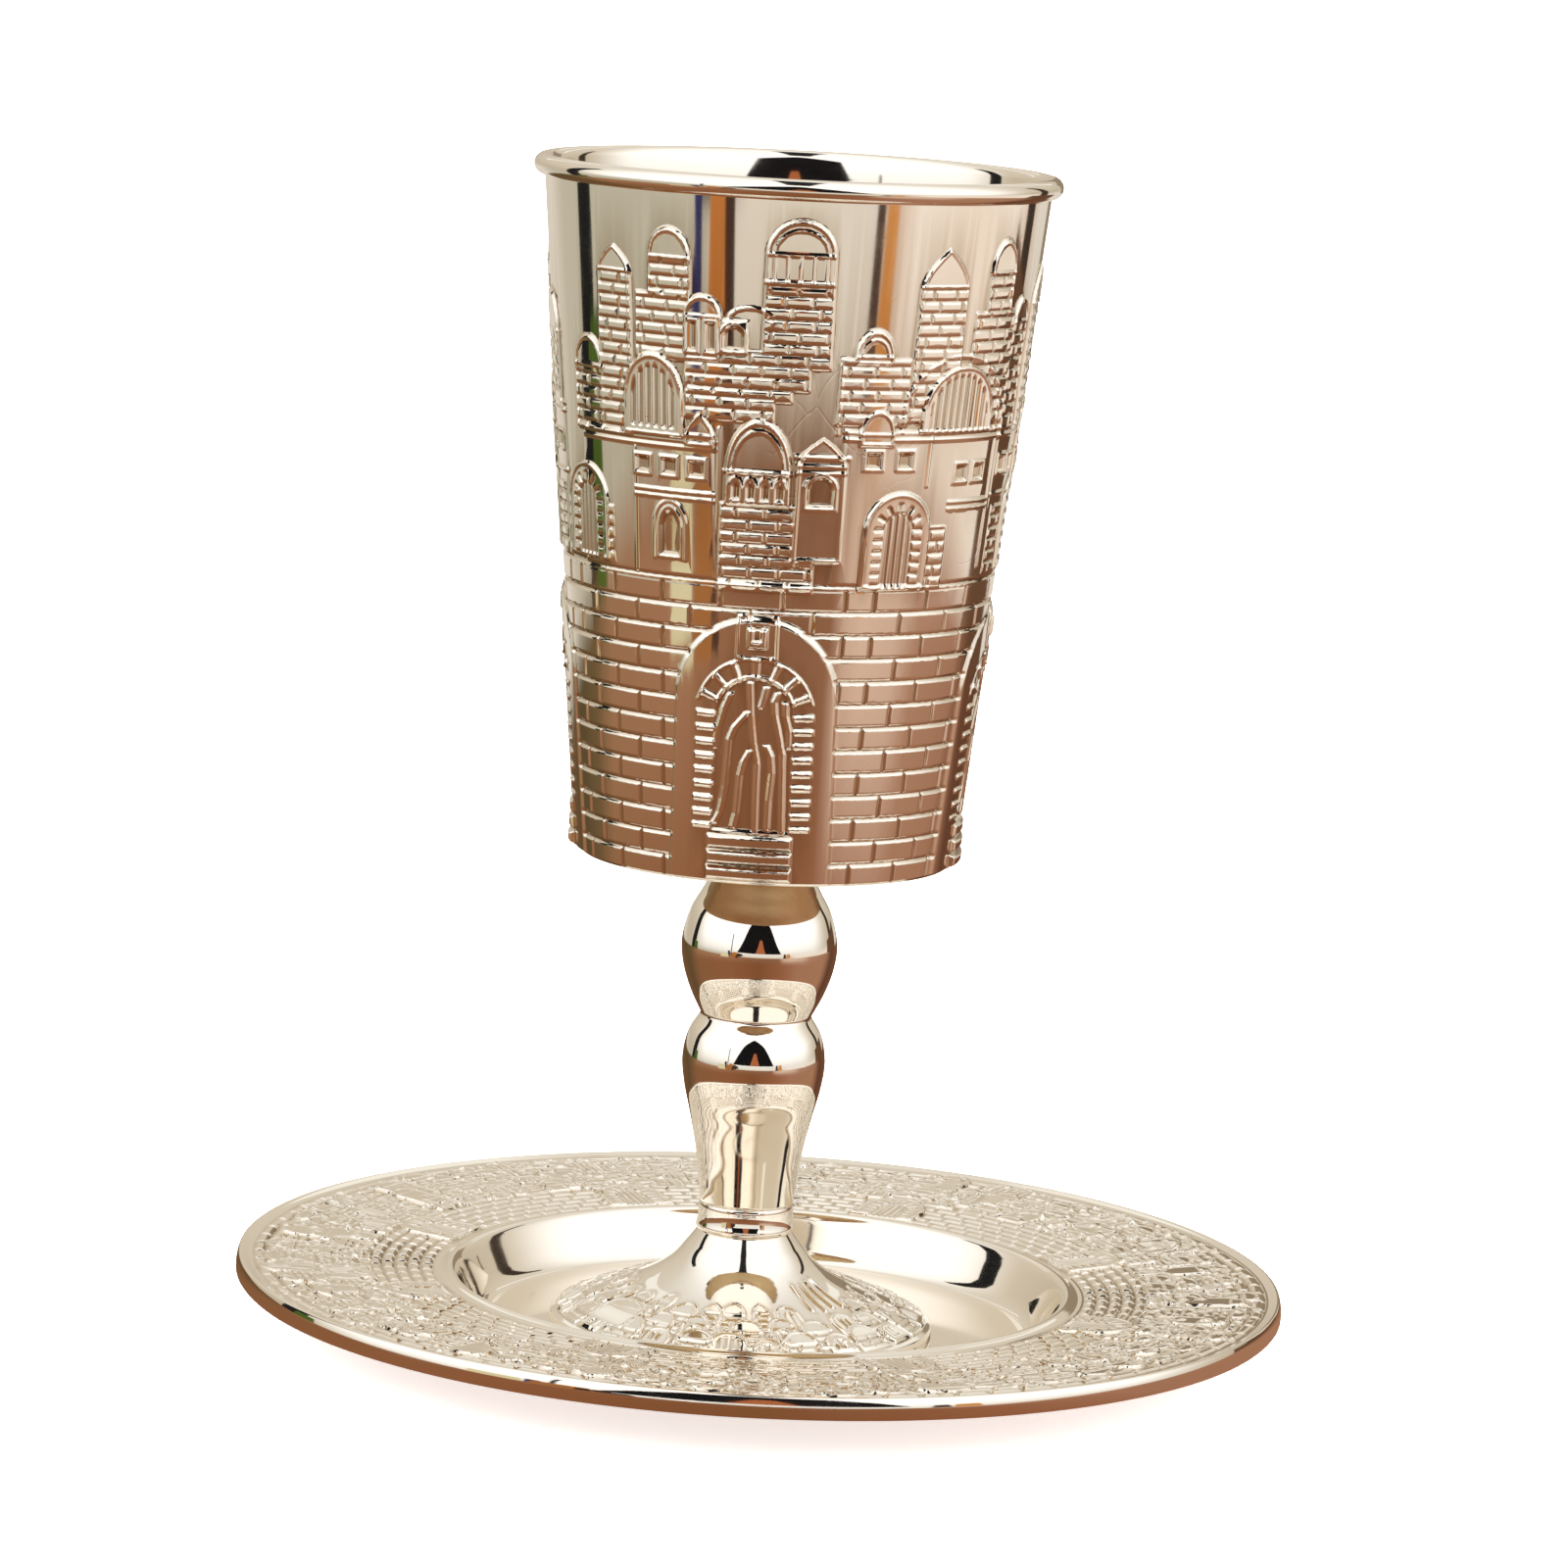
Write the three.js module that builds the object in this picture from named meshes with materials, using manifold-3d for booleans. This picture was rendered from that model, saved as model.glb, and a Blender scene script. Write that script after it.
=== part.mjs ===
// A stemmed kiddush cup standing in the well of its saucer, in silver-plated metal.
// Millimetres, +Z up. The origin is the centre of the saucer's underside, and the front gate faces -Y.

import * as THREE from 'three';
import { mergeVertices } from 'three/addons/utils/BufferGeometryUtils.js';
import Module from 'manifold-3d';

const wasm = await Module();
wasm.setup();

// ---------------------------------------------------------------- driving dimensions

// The cup stands a little off the middle of its saucer.
const CUP_X = -2.0;
const CUP_Y = -1.6;
const JOINT_GAP = 0.3;

// Saucer
const SAUCER_RADIUS = 62.9;
const SAUCER_HEIGHT = 8.44;
const SAUCER_WALL = 1.0;
const SKIRT_DROP = 2.83;
const WELL_FLOOR = 0.8;
const WELL_FLOOR_RADIUS = 33.4;
const WELL_LIP_RADIUS = 36.3;
const WELL_LIP_HEIGHT = 6.65;
const LIP_WIDTH = 2.1;
const EDGE_BEAD_WIDTH = 2.4;
const SAUCER_SEGMENTS = 40;

// Foot
const FOOT_BOTTOM = WELL_FLOOR + JOINT_GAP;
const FOOT_TOP = 13.2;
const FOOT_RADIUS = 22.9;
const FOOT_EDGE = 1.4;
const FOOT_WALL = 1.2;
const FOOT_HOUSES = 8;
const FOOT_HOUSE_PROUD = 0.35;
const FOOT_SEGMENTS = 26;

// Stem
const STEM_BOTTOM = FOOT_TOP + JOINT_GAP;
const RING_TOP = 16.4;
const RING_RADIUS = 5.75;
const WAIST_HEIGHT = 39.4;
const WAIST_RADIUS = 6.9;
const STEM_SEGMENTS = 24;

// Bowl
const BOWL_BOTTOM = 58.7;
const STEM_TOP = BOWL_BOTTOM - JOINT_GAP;
const BOWL_BOTTOM_RADIUS = 22.05;
const BOWL_FLARE = 0.0964;
const BOWL_WALL = 1.2;
const BOWL_FLOOR = 60.2;
const BOWL_EDGE_ROUND = 0.4;
const BOWL_CORNER_RISE = 5;
const BEAD_RADIUS = 29.84;
const BEAD_TUBE = 1.23;
const BEAD_HEIGHT = 139.57;
const BOWL_SEGMENTS = 30;

// The city wall round the lower bowl: brick courses, and a gate at every quarter turn.
const COURSES = 13;
const COURSE_HEIGHT = 2.71;
const JOINT_WIDTH = 0.7;
const JOINT_DEPTH = 0.35;
const GATES = 4;
const GATE_TURN = -4.6;
const GATE_HALF_WIDTH = 9.6;
const GATE_SPRING = 80.8;
const GATE_PROUD = 0.45;
const DOORWAY_HALF_WIDTH = 6.8;
const DOORWAY_SPRING = 78.8;
const DOOR_HALF_WIDTH = 4.4;
const DOORWAY_PROUD = 0.65;
const DOOR_BOTTOM = 65;
const DOOR_PROUD = 0.15;
const KEYSTONE_HALF_TURN = 2.4;
const KEYSTONE_BOTTOM = 86.6;
const KEYSTONE_TOP = 88.9;
const KEYSTONE_PROUD = 0.85;
const STEPS = 3;
const STEP_PITCH = 1.8;
const STEP_HALF_WIDTH = 4.75;
const STEP_PROUD = 1.5;
const STEP_SETBACK = 0.25;
const STEP_BOTTOM = 59.4;

// How far every raised pad reaches into the metal behind it.
const SUNK = 0.6;

// The widest step between two stations of a flat-topped pad, in degrees.
const STATION_TURN = 25;

// ---------------------------------------------------------------- solids

const degrees = (angle) => THREE.MathUtils.degToRad(angle);
const lerp = THREE.MathUtils.lerp;

// A closed geometry as a solid, with its shared vertices merged and its faces pointing out.
function solidFrom(geometry) {
  geometry.deleteAttribute('normal');
  geometry.deleteAttribute('uv');
  const merged = mergeVertices(geometry, 1e-4);
  const place = merged.attributes.position.array;
  const corners = merged.index.array;
  const faces = [];
  const corner = (i) => new THREE.Vector3().fromArray(place, 3 * i);
  let volume = 0;
  for (let i = 0; i < corners.length; i += 3) {
    const [a, b, c] = corners.subarray(i, i + 3);
    if (a !== b && b !== c && c !== a) {
      faces.push([a, b, c]);
      volume += corner(a).dot(corner(b).cross(corner(c)));
    }
  }
  if (volume < 0) {
    faces.forEach((face) => face.reverse());
  }
  const mesh = new wasm.Mesh({
    numProp: 3,
    vertProperties: new Float32Array(place),
    triVerts: new Uint32Array(faces.flat()),
  });
  return new wasm.Manifold(mesh);
}

// A turned piece about Z from a profile of [radius, height] points, listed anticlockwise.
function turned(profile, segments) {
  const points = profile.map(([radius, height]) => new THREE.Vector2(radius, height));
  const geometry = new THREE.LatheGeometry(points, segments);
  geometry.rotateX(Math.PI / 2);
  return solidFrom(geometry);
}

// A smooth run of profile points through a few [radius, height] marks.
function smoothRun(marks, steps) {
  const curve = new THREE.SplineCurve(marks.map(([radius, height]) => new THREE.Vector2(radius, height)));
  return curve.getPoints(steps).map((point) => [point.x, point.y]);
}

// A piece laid on a curved surface. Each station is [turn, low, high]; each ring of the piece at a
// station is four corners, sunk under the surface and standing proud of it.
function laidOn(surface, stations, proud, sunk = SUNK) {
  const rings = stations.map(([turn, low, high]) => [
    surface(turn, low, -sunk),
    surface(turn, high, -sunk),
    surface(turn, high, proud),
    surface(turn, low, proud),
  ]);
  return solidFrom(skin(rings));
}

// The closed skin over a row of rings of corners. Each end is a fan from its ring's first corner.
function skin(rings) {
  const sides = rings[0].length;
  const index = [];
  for (let i = 0; i + 1 < rings.length; i += 1) {
    for (let k = 0; k < sides; k += 1) {
      const next = (k + 1) % sides;
      const here = i * sides;
      const there = here + sides;
      index.push(here + k, here + next, there + next, here + k, there + next, there + k);
    }
  }
  const last = (rings.length - 1) * sides;
  for (let k = 1; k + 1 < sides; k += 1) {
    index.push(0, k + 1, k, last, last + k, last + k + 1);
  }
  const geometry = new THREE.BufferGeometry().setFromPoints(rings.flat());
  geometry.setIndex(index);
  return geometry;
}

// Stations across a flat-topped piece, no further than STATION_TURN degrees apart.
function squareStations(left, right, low, high) {
  const steps = Math.ceil((right - left) / STATION_TURN);
  const stations = [];
  for (let i = 0; i <= steps; i += 1) {
    stations.push([lerp(left, right, i / steps), low, high]);
  }
  return stations;
}

// Stations across a round-topped piece: straight up to the spring, then an arc to the apex.
function roundStations(left, right, low, spring, apex, steps = 4) {
  const middle = (left + right) / 2;
  const stations = [];
  for (let i = 0; i <= steps; i += 1) {
    const angle = Math.PI * (1 - i / steps);
    const rise = Math.max((apex - spring) * Math.sin(angle), 0.02);
    stations.push([middle + ((right - left) / 2) * Math.cos(angle), low, spring + rise]);
  }
  return stations;
}

// One building: a block from its foot to its eaves, with a dome above them where it has an apex.
function building(surface, { left, right, foot, eaves, apex, proud }) {
  const stations = apex
    ? roundStations(left, right, foot, eaves, apex)
    : squareStations(left, right, foot, eaves);
  return laidOn(surface, stations, proud);
}

// The same building turned about the axis.
function turnedBy(item, turn) {
  return { ...item, left: item.left + turn, right: item.right + turn };
}

// ---------------------------------------------------------------- bowl

const wallRadius = (height) => BOWL_BOTTOM_RADIUS + BOWL_FLARE * (height - BOWL_BOTTOM);

function onBowl(turn, height, off) {
  const radius = wallRadius(height) + off;
  return new THREE.Vector3(radius * Math.sin(degrees(turn)), -radius * Math.cos(degrees(turn)), height);
}

// The angle that a width across the wall takes up at a height.
const turnAcross = (width, height) => THREE.MathUtils.radToDeg(width / wallRadius(height));

// The beaker: flat bottom, lapped brick courses, plain wall, rolled bead, smooth inside.
function bowlProfile() {
  const edgeTop = BOWL_BOTTOM + BOWL_EDGE_ROUND;
  const profile = [
    [0, BOWL_BOTTOM],
    [BOWL_BOTTOM_RADIUS - BOWL_EDGE_ROUND, BOWL_BOTTOM],
    [wallRadius(edgeTop), edgeTop],
  ];
  for (let course = 1; course <= COURSES; course += 1) {
    const height = BOWL_BOTTOM + course * COURSE_HEIGHT;
    profile.push([wallRadius(height) - JOINT_DEPTH, height], [wallRadius(height), height + JOINT_WIDTH / 2]);
  }
  const beadSteps = 6;
  for (let i = 0; i <= beadSteps; i += 1) {
    const angle = degrees(lerp(-85, 180, i / beadSteps));
    profile.push([BEAD_RADIUS + BEAD_TUBE * Math.cos(angle), BEAD_HEIGHT + BEAD_TUBE * Math.sin(angle)]);
  }
  const cornerTop = BOWL_FLOOR + BOWL_CORNER_RISE;
  const innerRadius = wallRadius(cornerTop) - BOWL_WALL;
  profile.push([innerRadius, cornerTop], [innerRadius - 1.8, BOWL_FLOOR + 1.4]);
  profile.push([innerRadius - 5.2, BOWL_FLOOR], [0, BOWL_FLOOR]);
  return profile;
}

// The steps up to a gate's door, as one straight flight whose treads stand less proud as they rise.
function stair(turn) {
  const half = turnAcross(STEP_HALF_WIDTH, STEP_BOTTOM);
  const outline = [[STEP_BOTTOM, -SUNK]];
  for (let i = 0; i < STEPS; i += 1) {
    const proud = STEP_PROUD - i * STEP_SETBACK;
    const low = STEP_BOTTOM + i * STEP_PITCH;
    outline.push([low, proud], [low + STEP_PITCH, proud]);
  }
  outline.push([STEP_BOTTOM + STEPS * STEP_PITCH, -SUNK]);
  const ends = [turn - half, turn + half];
  return solidFrom(skin(ends.map((end) => outline.map(([height, off]) => onBowl(end, height, off)))));
}

// One gate: a round-headed frame, the raised surround of its doorway, a keystone block and three steps.
function gateRaised(turn) {
  const half = turnAcross(GATE_HALF_WIDTH, GATE_SPRING);
  const surround = turnAcross(DOORWAY_HALF_WIDTH, DOORWAY_SPRING);
  const gateTop = GATE_SPRING + GATE_HALF_WIDTH;
  const surroundTop = DOORWAY_SPRING + DOORWAY_HALF_WIDTH;
  return [
    laidOn(
      onBowl,
      roundStations(turn - half, turn + half, BOWL_BOTTOM + BOWL_EDGE_ROUND, GATE_SPRING, gateTop, 8),
      GATE_PROUD,
    ),
    laidOn(
      onBowl,
      roundStations(turn - surround, turn + surround, STEP_BOTTOM, DOORWAY_SPRING, surroundTop, 6),
      DOORWAY_PROUD,
    ),
    laidOn(
      onBowl,
      squareStations(turn - KEYSTONE_HALF_TURN, turn + KEYSTONE_HALF_TURN, KEYSTONE_BOTTOM, KEYSTONE_TOP),
      KEYSTONE_PROUD,
    ),
    stair(turn),
  ];
}

// The door of a gate, set back into its surround.
function gateDoor(turn) {
  const half = turnAcross(DOOR_HALF_WIDTH, DOORWAY_SPRING);
  const top = DOORWAY_SPRING + DOOR_HALF_WIDTH;
  const stations = roundStations(turn - half, turn + half, DOOR_BOTTOM, DOORWAY_SPRING, top);
  return laidOn(onBowl, stations, 2 * DOORWAY_PROUD, -DOOR_PROUD);
}

// The buildings over the wall through half a turn, from the back to the front of the crowd.
// left and right are degrees round from the front; foot, eaves and apex are heights.
const CITY = [
  { left: -6.2, right: 9.4, foot: 115, eaves: 132, apex: 136, proud: 0.3 },
  { left: -34.9, right: -24.2, foot: 126, eaves: 131, apex: 134.4, proud: 0.25 },
  { left: -38.8, right: -24, foot: 119.5, eaves: 126.7, proud: 0.35 },
  { left: -50.9, right: -40.2, foot: 110, eaves: 128.9, apex: 131.8, proud: 0.3 },
  { left: 30.4, right: 43.8, foot: 115.7, eaves: 129, apex: 133.3, proud: 0.3 },
  { left: 49, right: 62, foot: 113, eaves: 129.5, apex: 134.3, proud: 0.3 },
  { left: 70, right: 82, foot: 110, eaves: 126.5, apex: 131, proud: 0.3 },
  { left: 86, right: 104, foot: 110, eaves: 120.5, apex: 126, proud: 0.35 },
  { left: -25.5, right: -9.8, foot: 113.5, eaves: 122.4, apex: 126.9, proud: 0.3 },
  { left: 12, right: 29.8, foot: 113, eaves: 119, apex: 123.8, proud: 0.3 },
  { left: -42.4, right: -25.3, foot: 110, eaves: 115, apex: 119.8, proud: 0.45 },
  { left: 34, right: 58, foot: 111, eaves: 114.6, apex: 119.8, proud: 0.45 },
  { left: -14.3, right: 1.6, foot: 95, eaves: 107.2, apex: 113, proud: 0.5 },
  { left: 3, right: 15.3, foot: 95, eaves: 107.7, apex: 111.3, proud: 0.45 },
  { left: -70, right: -48, foot: 95, eaves: 101.5, apex: 106, proud: 0.45 },
  { left: 21.5, right: 45.9, foot: 95, eaves: 100.4, apex: 105.7, proud: 0.45 },
  { left: 66, right: 96, foot: 95, eaves: 104, apex: 110, proud: 0.45 },
];

function buildBowl() {
  const gateTurns = [];
  const raised = [];
  for (let gate = 0; gate < GATES; gate += 1) {
    gateTurns.push(GATE_TURN + (360 / GATES) * gate);
  }
  for (const turn of [0, 180]) {
    CITY.forEach((item) => raised.push(building(onBowl, turnedBy(item, turn))));
  }
  gateTurns.forEach((turn) => raised.push(...gateRaised(turn)));
  const beaker = turned(bowlProfile(), BOWL_SEGMENTS);
  return beaker.add(wasm.Manifold.union(raised)).subtract(wasm.Manifold.union(gateTurns.map(gateDoor)));
}

// ---------------------------------------------------------------- stem

// Two bulbs that meet in a sharp waist, the lower one drawn out into a neck over a plain ring.
function buildStem() {
  const upperBulb = [
    [WAIST_RADIUS, WAIST_HEIGHT], [8.25, 42.4], [9.2, 45.6], [9.4, 48.4],
    [8.8, 51.6], [7.6, 55.2], [7.0, STEM_TOP],
  ];
  const lowerBulb = [
    [5.6, RING_TOP], [5.95, 19.6], [7.1, 26.3], [8.2, 30.2], [8.67, 34], [8.05, 37.2],
    [WAIST_RADIUS, WAIST_HEIGHT],
  ];
  const profile = [
    [0, STEM_BOTTOM],
    [RING_RADIUS - 0.2, STEM_BOTTOM],
    [RING_RADIUS, STEM_BOTTOM + 0.4],
    [RING_RADIUS, RING_TOP - 0.4],
    ...smoothRun(lowerBulb, 7),
    ...smoothRun(upperBulb, 7).slice(1),
    [0, STEM_TOP],
  ];
  return turned(profile, STEM_SEGMENTS);
}

// ---------------------------------------------------------------- foot

const FOOT_FLARE = [
  [FOOT_RADIUS, FOOT_BOTTOM + FOOT_EDGE], [20, 3.75], [17.4, 4.9], [12.2, 7.0], [8.9, 9.1], [6.9, 11.4],
  [5.9, FOOT_TOP],
];

// The height of the flare between the edge and the plain dome.
function footHeight(radius) {
  const next = FOOT_FLARE.findIndex(([mark]) => mark <= radius);
  const [outer, low] = FOOT_FLARE[next - 1];
  const [inner, high] = FOOT_FLARE[next];
  return lerp(low, high, (outer - radius) / (outer - inner));
}

function onFoot(turn, radius, off) {
  const height = footHeight(radius) + off;
  return new THREE.Vector3(radius * Math.sin(degrees(turn)), -radius * Math.cos(degrees(turn)), height);
}

// A spun bell with a low ring of round-headed houses on its flare, hollow underneath.
function buildFoot() {
  const outer = smoothRun(FOOT_FLARE, 7);
  const inner = smoothRun(FOOT_FLARE, 4).map(([radius, height]) => [
    radius - FOOT_WALL * 0.6,
    Math.max(height - FOOT_WALL, FOOT_BOTTOM),
  ]);
  inner[0] = [FOOT_RADIUS - FOOT_WALL, FOOT_BOTTOM];
  const profile = [
    [FOOT_RADIUS, FOOT_BOTTOM],
    ...outer,
    [0, FOOT_TOP],
    [0, FOOT_TOP - FOOT_WALL],
    ...inner.reverse(),
    [FOOT_RADIUS, FOOT_BOTTOM],
  ];
  const houses = [];
  for (let house = 0; house < FOOT_HOUSES; house += 1) {
    const turn = (360 / FOOT_HOUSES) * house;
    const [half, eaves, apex] = house % 2 ? [6, 17.5, 19.5] : [8, 18.5, 21.5];
    const stations = roundStations(turn - half, turn + half, 13, eaves, apex);
    houses.push(laidOn(onFoot, stations, FOOT_HOUSE_PROUD));
  }
  return turned(profile, FOOT_SEGMENTS).add(wasm.Manifold.union(houses));
}

// ---------------------------------------------------------------- saucer

const RELIEF_START = WELL_LIP_RADIUS + LIP_WIDTH;
const RELIEF_END = SAUCER_RADIUS - EDGE_BEAD_WIDTH;
const RIM_COURSES = 3;
const RIM_COURSE = 2.4;

const rimHeight = (radius) => lerp(
  WELL_LIP_HEIGHT - 0.2,
  SAUCER_HEIGHT - 0.6,
  (radius - RELIEF_START) / (RELIEF_END - RELIEF_START),
);

function onRim(turn, radius, off) {
  const height = rimHeight(radius) + off;
  return new THREE.Vector3(radius * Math.sin(degrees(turn)), -radius * Math.cos(degrees(turn)), height);
}

// The plate: flat underneath the well, a turned-down skirt at the edge and a plain bead above it.
function saucerProfile() {
  const skirtBottom = SAUCER_HEIGHT - SKIRT_DROP;
  const profile = [
    [0, 0],
    [WELL_FLOOR_RADIUS + 0.4, 0],
    [WELL_LIP_RADIUS + 0.9, WELL_LIP_HEIGHT - SAUCER_WALL - 0.4],
    [SAUCER_RADIUS - SAUCER_WALL, rimHeight(RELIEF_END) - SAUCER_WALL],
    [SAUCER_RADIUS - SAUCER_WALL, skirtBottom],
    [SAUCER_RADIUS, skirtBottom],
    [SAUCER_RADIUS, SAUCER_HEIGHT - 0.7],
    [SAUCER_RADIUS - 0.7, SAUCER_HEIGHT],
    [SAUCER_RADIUS - 1.6, SAUCER_HEIGHT],
    [RELIEF_END, rimHeight(RELIEF_END)],
  ];
  for (let course = RIM_COURSES; course >= 1; course -= 1) {
    const radius = RELIEF_START + course * RIM_COURSE;
    profile.push([radius, rimHeight(radius)], [radius - JOINT_WIDTH / 2, rimHeight(radius) - JOINT_DEPTH]);
  }
  profile.push([RELIEF_START, rimHeight(RELIEF_START)]);
  profile.push([RELIEF_START - 0.5, WELL_LIP_HEIGHT], [WELL_LIP_RADIUS, WELL_LIP_HEIGHT]);
  profile.push([WELL_LIP_RADIUS - 0.7, WELL_LIP_HEIGHT - 0.7], [WELL_FLOOR_RADIUS, WELL_FLOOR], [0, WELL_FLOOR]);
  return profile;
}

// What stands round the rim in each quarter turn: a gate over the courses, then towers and houses
// that point outwards. foot, eaves and apex are radii.
const RIM_CITY = [
  { left: -10, right: 10, foot: 38.8, eaves: 43.6, apex: 48.2, proud: 0.45 },
  { left: -4, right: 5, foot: 49, eaves: 56.5, apex: 59.3, proud: 0.35 },
  { left: 9, right: 21, foot: 48, eaves: 52, apex: 55.5, proud: 0.35 },
  { left: 24, right: 31, foot: 48, eaves: 55.5, apex: 58.6, proud: 0.4 },
  { left: 34, right: 50, foot: 48, eaves: 50, apex: 54.8, proud: 0.45 },
];

function buildSaucer() {
  const raised = [];
  for (const turn of [0, 90, 180, 270]) {
    RIM_CITY.forEach((item) => raised.push(building(onRim, turnedBy(item, turn))));
  }
  return turned(saucerProfile(), SAUCER_SEGMENTS).add(wasm.Manifold.union(raised));
}

// ---------------------------------------------------------------- scene

function piece(name, solid, colour, roughness) {
  const { vertProperties, triVerts } = solid.getMesh();
  const geometry = new THREE.BufferGeometry();
  geometry.setAttribute('position', new THREE.BufferAttribute(vertProperties, 3));
  geometry.setIndex(new THREE.BufferAttribute(triVerts, 1));
  const faceted = geometry.toNonIndexed();
  faceted.computeVertexNormals();
  const material = new THREE.MeshStandardMaterial({ color: colour, roughness, metalness: 1 });
  const mesh = new THREE.Mesh(faceted, material);
  mesh.name = name;
  return mesh;
}

const cup = new THREE.Group();
cup.position.set(CUP_X, CUP_Y, 0);
cup.add(
  piece('bowl', buildBowl(), 0xd9c9b4, 0.16),
  piece('stem', buildStem(), 0xe0d3bd, 0.1),
  piece('foot', buildFoot(), 0xddd0ba, 0.14),
);

const kiddushCup = new THREE.Group();
kiddushCup.add(cup, piece('saucer', buildSaucer(), 0xd9cbb2, 0.16));

export default kiddushCup;
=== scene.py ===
import math

import bmesh
import bpy
import numpy as np
from mathutils import Matrix, Vector


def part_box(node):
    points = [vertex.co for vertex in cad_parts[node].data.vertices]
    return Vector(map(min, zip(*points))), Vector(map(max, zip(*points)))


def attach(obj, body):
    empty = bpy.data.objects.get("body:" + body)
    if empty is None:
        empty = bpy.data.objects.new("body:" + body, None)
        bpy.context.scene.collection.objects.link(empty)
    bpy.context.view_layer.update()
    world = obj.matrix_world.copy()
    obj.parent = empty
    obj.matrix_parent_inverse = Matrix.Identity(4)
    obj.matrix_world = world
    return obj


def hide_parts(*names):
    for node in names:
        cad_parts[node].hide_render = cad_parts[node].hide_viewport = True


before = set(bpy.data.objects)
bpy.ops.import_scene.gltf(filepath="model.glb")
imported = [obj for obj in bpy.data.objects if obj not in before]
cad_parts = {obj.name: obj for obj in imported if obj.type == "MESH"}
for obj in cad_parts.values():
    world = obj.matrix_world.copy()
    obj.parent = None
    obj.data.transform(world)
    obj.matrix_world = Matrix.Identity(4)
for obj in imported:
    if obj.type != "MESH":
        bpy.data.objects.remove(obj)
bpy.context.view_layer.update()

# ---- Camera -------------------------------------------------------------------------------------
# A short telephoto a little above the rim, leaned so that the cup tips slightly to the right.
VIEW_DISTANCE = 0.7426
VIEW_HEIGHT = 0.070
VIEW_ELEVATION = math.radians(8.74)
VIEW_ROLL = math.radians(2.95)

bowl_low, bowl_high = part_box("bowl")
cup_axis = (bowl_low + bowl_high) / 2
camera_data = bpy.data.cameras.new("camera")
camera_data.lens = 143.5
camera_data.sensor_width = 36
camera_data.shift_x = 0.0096
camera_data.shift_y = -0.0147
camera = bpy.data.objects.new("camera", camera_data)
bpy.context.scene.collection.objects.link(camera)
back = Vector((0, -math.cos(VIEW_ELEVATION), math.sin(VIEW_ELEVATION)))
turn_view = Matrix.Rotation(math.pi / 2 - VIEW_ELEVATION, 4, "X") @ Matrix.Rotation(VIEW_ROLL, 4, "Z")
target = Vector((cup_axis.x, cup_axis.y, VIEW_HEIGHT))
camera.matrix_world = Matrix.Translation(target + back * VIEW_DISTANCE) @ turn_view
bpy.context.scene.camera = camera

# ---- Studio -------------------------------------------------------------------------------------
# A pale sweep that the floor runs up into, soft lamps, and a room that only the polished metal sees:
# the brown table top under the cup, the dark and coloured things across the room, and its pale walls.
LAMP_AIM = 0.06
SWEEP_FLAT = 0.95
SWEEP_RADIUS = 1.75
SWEEP_HEIGHT = 1.9
SWEEP_STEPS = 12
ROUND_STEPS = 96
TABLE_RADIUS = 0.46
TABLE_FADE = 0.385
TABLE_CHANGE = (0.13, 0.3)


def link(piece):
    bpy.context.scene.collection.objects.link(piece)
    return piece


def mesh_from(bm, name):
    mesh = bpy.data.meshes.new(name)
    bm.to_mesh(mesh)
    bm.free()
    return link(bpy.data.objects.new(name, mesh))


def seen_only_in_metal(card):
    card.visible_camera = False
    card.visible_diffuse = False
    card.visible_shadow = False
    card.visible_transmission = False


def add_node(tree, kind, inputs=None, **settings):
    """A node with its own settings; each input is given a plain value or fed by another's output."""
    node = tree.nodes.new("ShaderNode" + kind)
    for setting, value in settings.items():
        setattr(node, setting, value)
    for name, value in (inputs or {}).items():
        if isinstance(value, bpy.types.NodeSocket):
            tree.links.new(value, node.inputs[name])
        else:
            node.inputs[name].default_value = value
    return node


def glow_material(name, colour):
    """A surface that gives off an even colour."""
    material = bpy.data.materials.new(name)
    material.use_nodes = True
    tree = material.node_tree
    tree.nodes.clear()
    glow = add_node(tree, "Emission", {"Color": (*colour, 1)})
    add_node(tree, "OutputMaterial", {"Surface": glow.outputs[0]})
    return material


def standing_card(name, azimuth, distance, low, high, width_low, width_high, colour):
    """An upright card facing the cup: azimuth in degrees from the camera's side, sizes in metres."""
    bm = bmesh.new()
    corners = [
        (-width_low / 2, -distance, low),
        (width_low / 2, -distance, low),
        (width_high / 2, -distance, high),
        (-width_high / 2, -distance, high),
    ]
    bm.faces.new([bm.verts.new(corner) for corner in corners])
    facing = Matrix.Rotation(math.radians(azimuth), 3, "Z")
    bmesh.ops.rotate(bm, verts=bm.verts, cent=(0, 0, 0), matrix=facing)
    card = mesh_from(bm, name)
    card.data.materials.append(glow_material(name, colour))
    seen_only_in_metal(card)


bm = bmesh.new()
sweep = [(0, 0), (SWEEP_FLAT, 0)]
bend = SWEEP_RADIUS - SWEEP_FLAT
for step in range(1, SWEEP_STEPS + 1):
    angle = math.radians(90 * step / SWEEP_STEPS)
    sweep.append((SWEEP_FLAT + bend * math.sin(angle), bend * (1 - math.cos(angle))))
sweep.append((SWEEP_RADIUS, SWEEP_HEIGHT))
corners = [bm.verts.new((radius, 0, height)) for radius, height in sweep]
line = corners + [bm.edges.new(pair) for pair in zip(corners, corners[1:])]
full_turn = 2 * math.pi
bmesh.ops.spin(
    bm, geom=line, cent=(0, 0, 0), axis=(0, 0, 1), angle=full_turn, steps=ROUND_STEPS, use_merge=True
)
bmesh.ops.remove_doubles(bm, verts=bm.verts, dist=1e-6)
for face in bm.faces:
    face.smooth = True
floor = mesh_from(bm, "floor")
floor_material = bpy.data.materials.new("pale floor")
floor_material.use_nodes = True
floor_shader = floor_material.node_tree.nodes["Principled BSDF"]
floor_shader.inputs["Base Color"].default_value = (0.9, 0.89, 0.87, 1)
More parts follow.
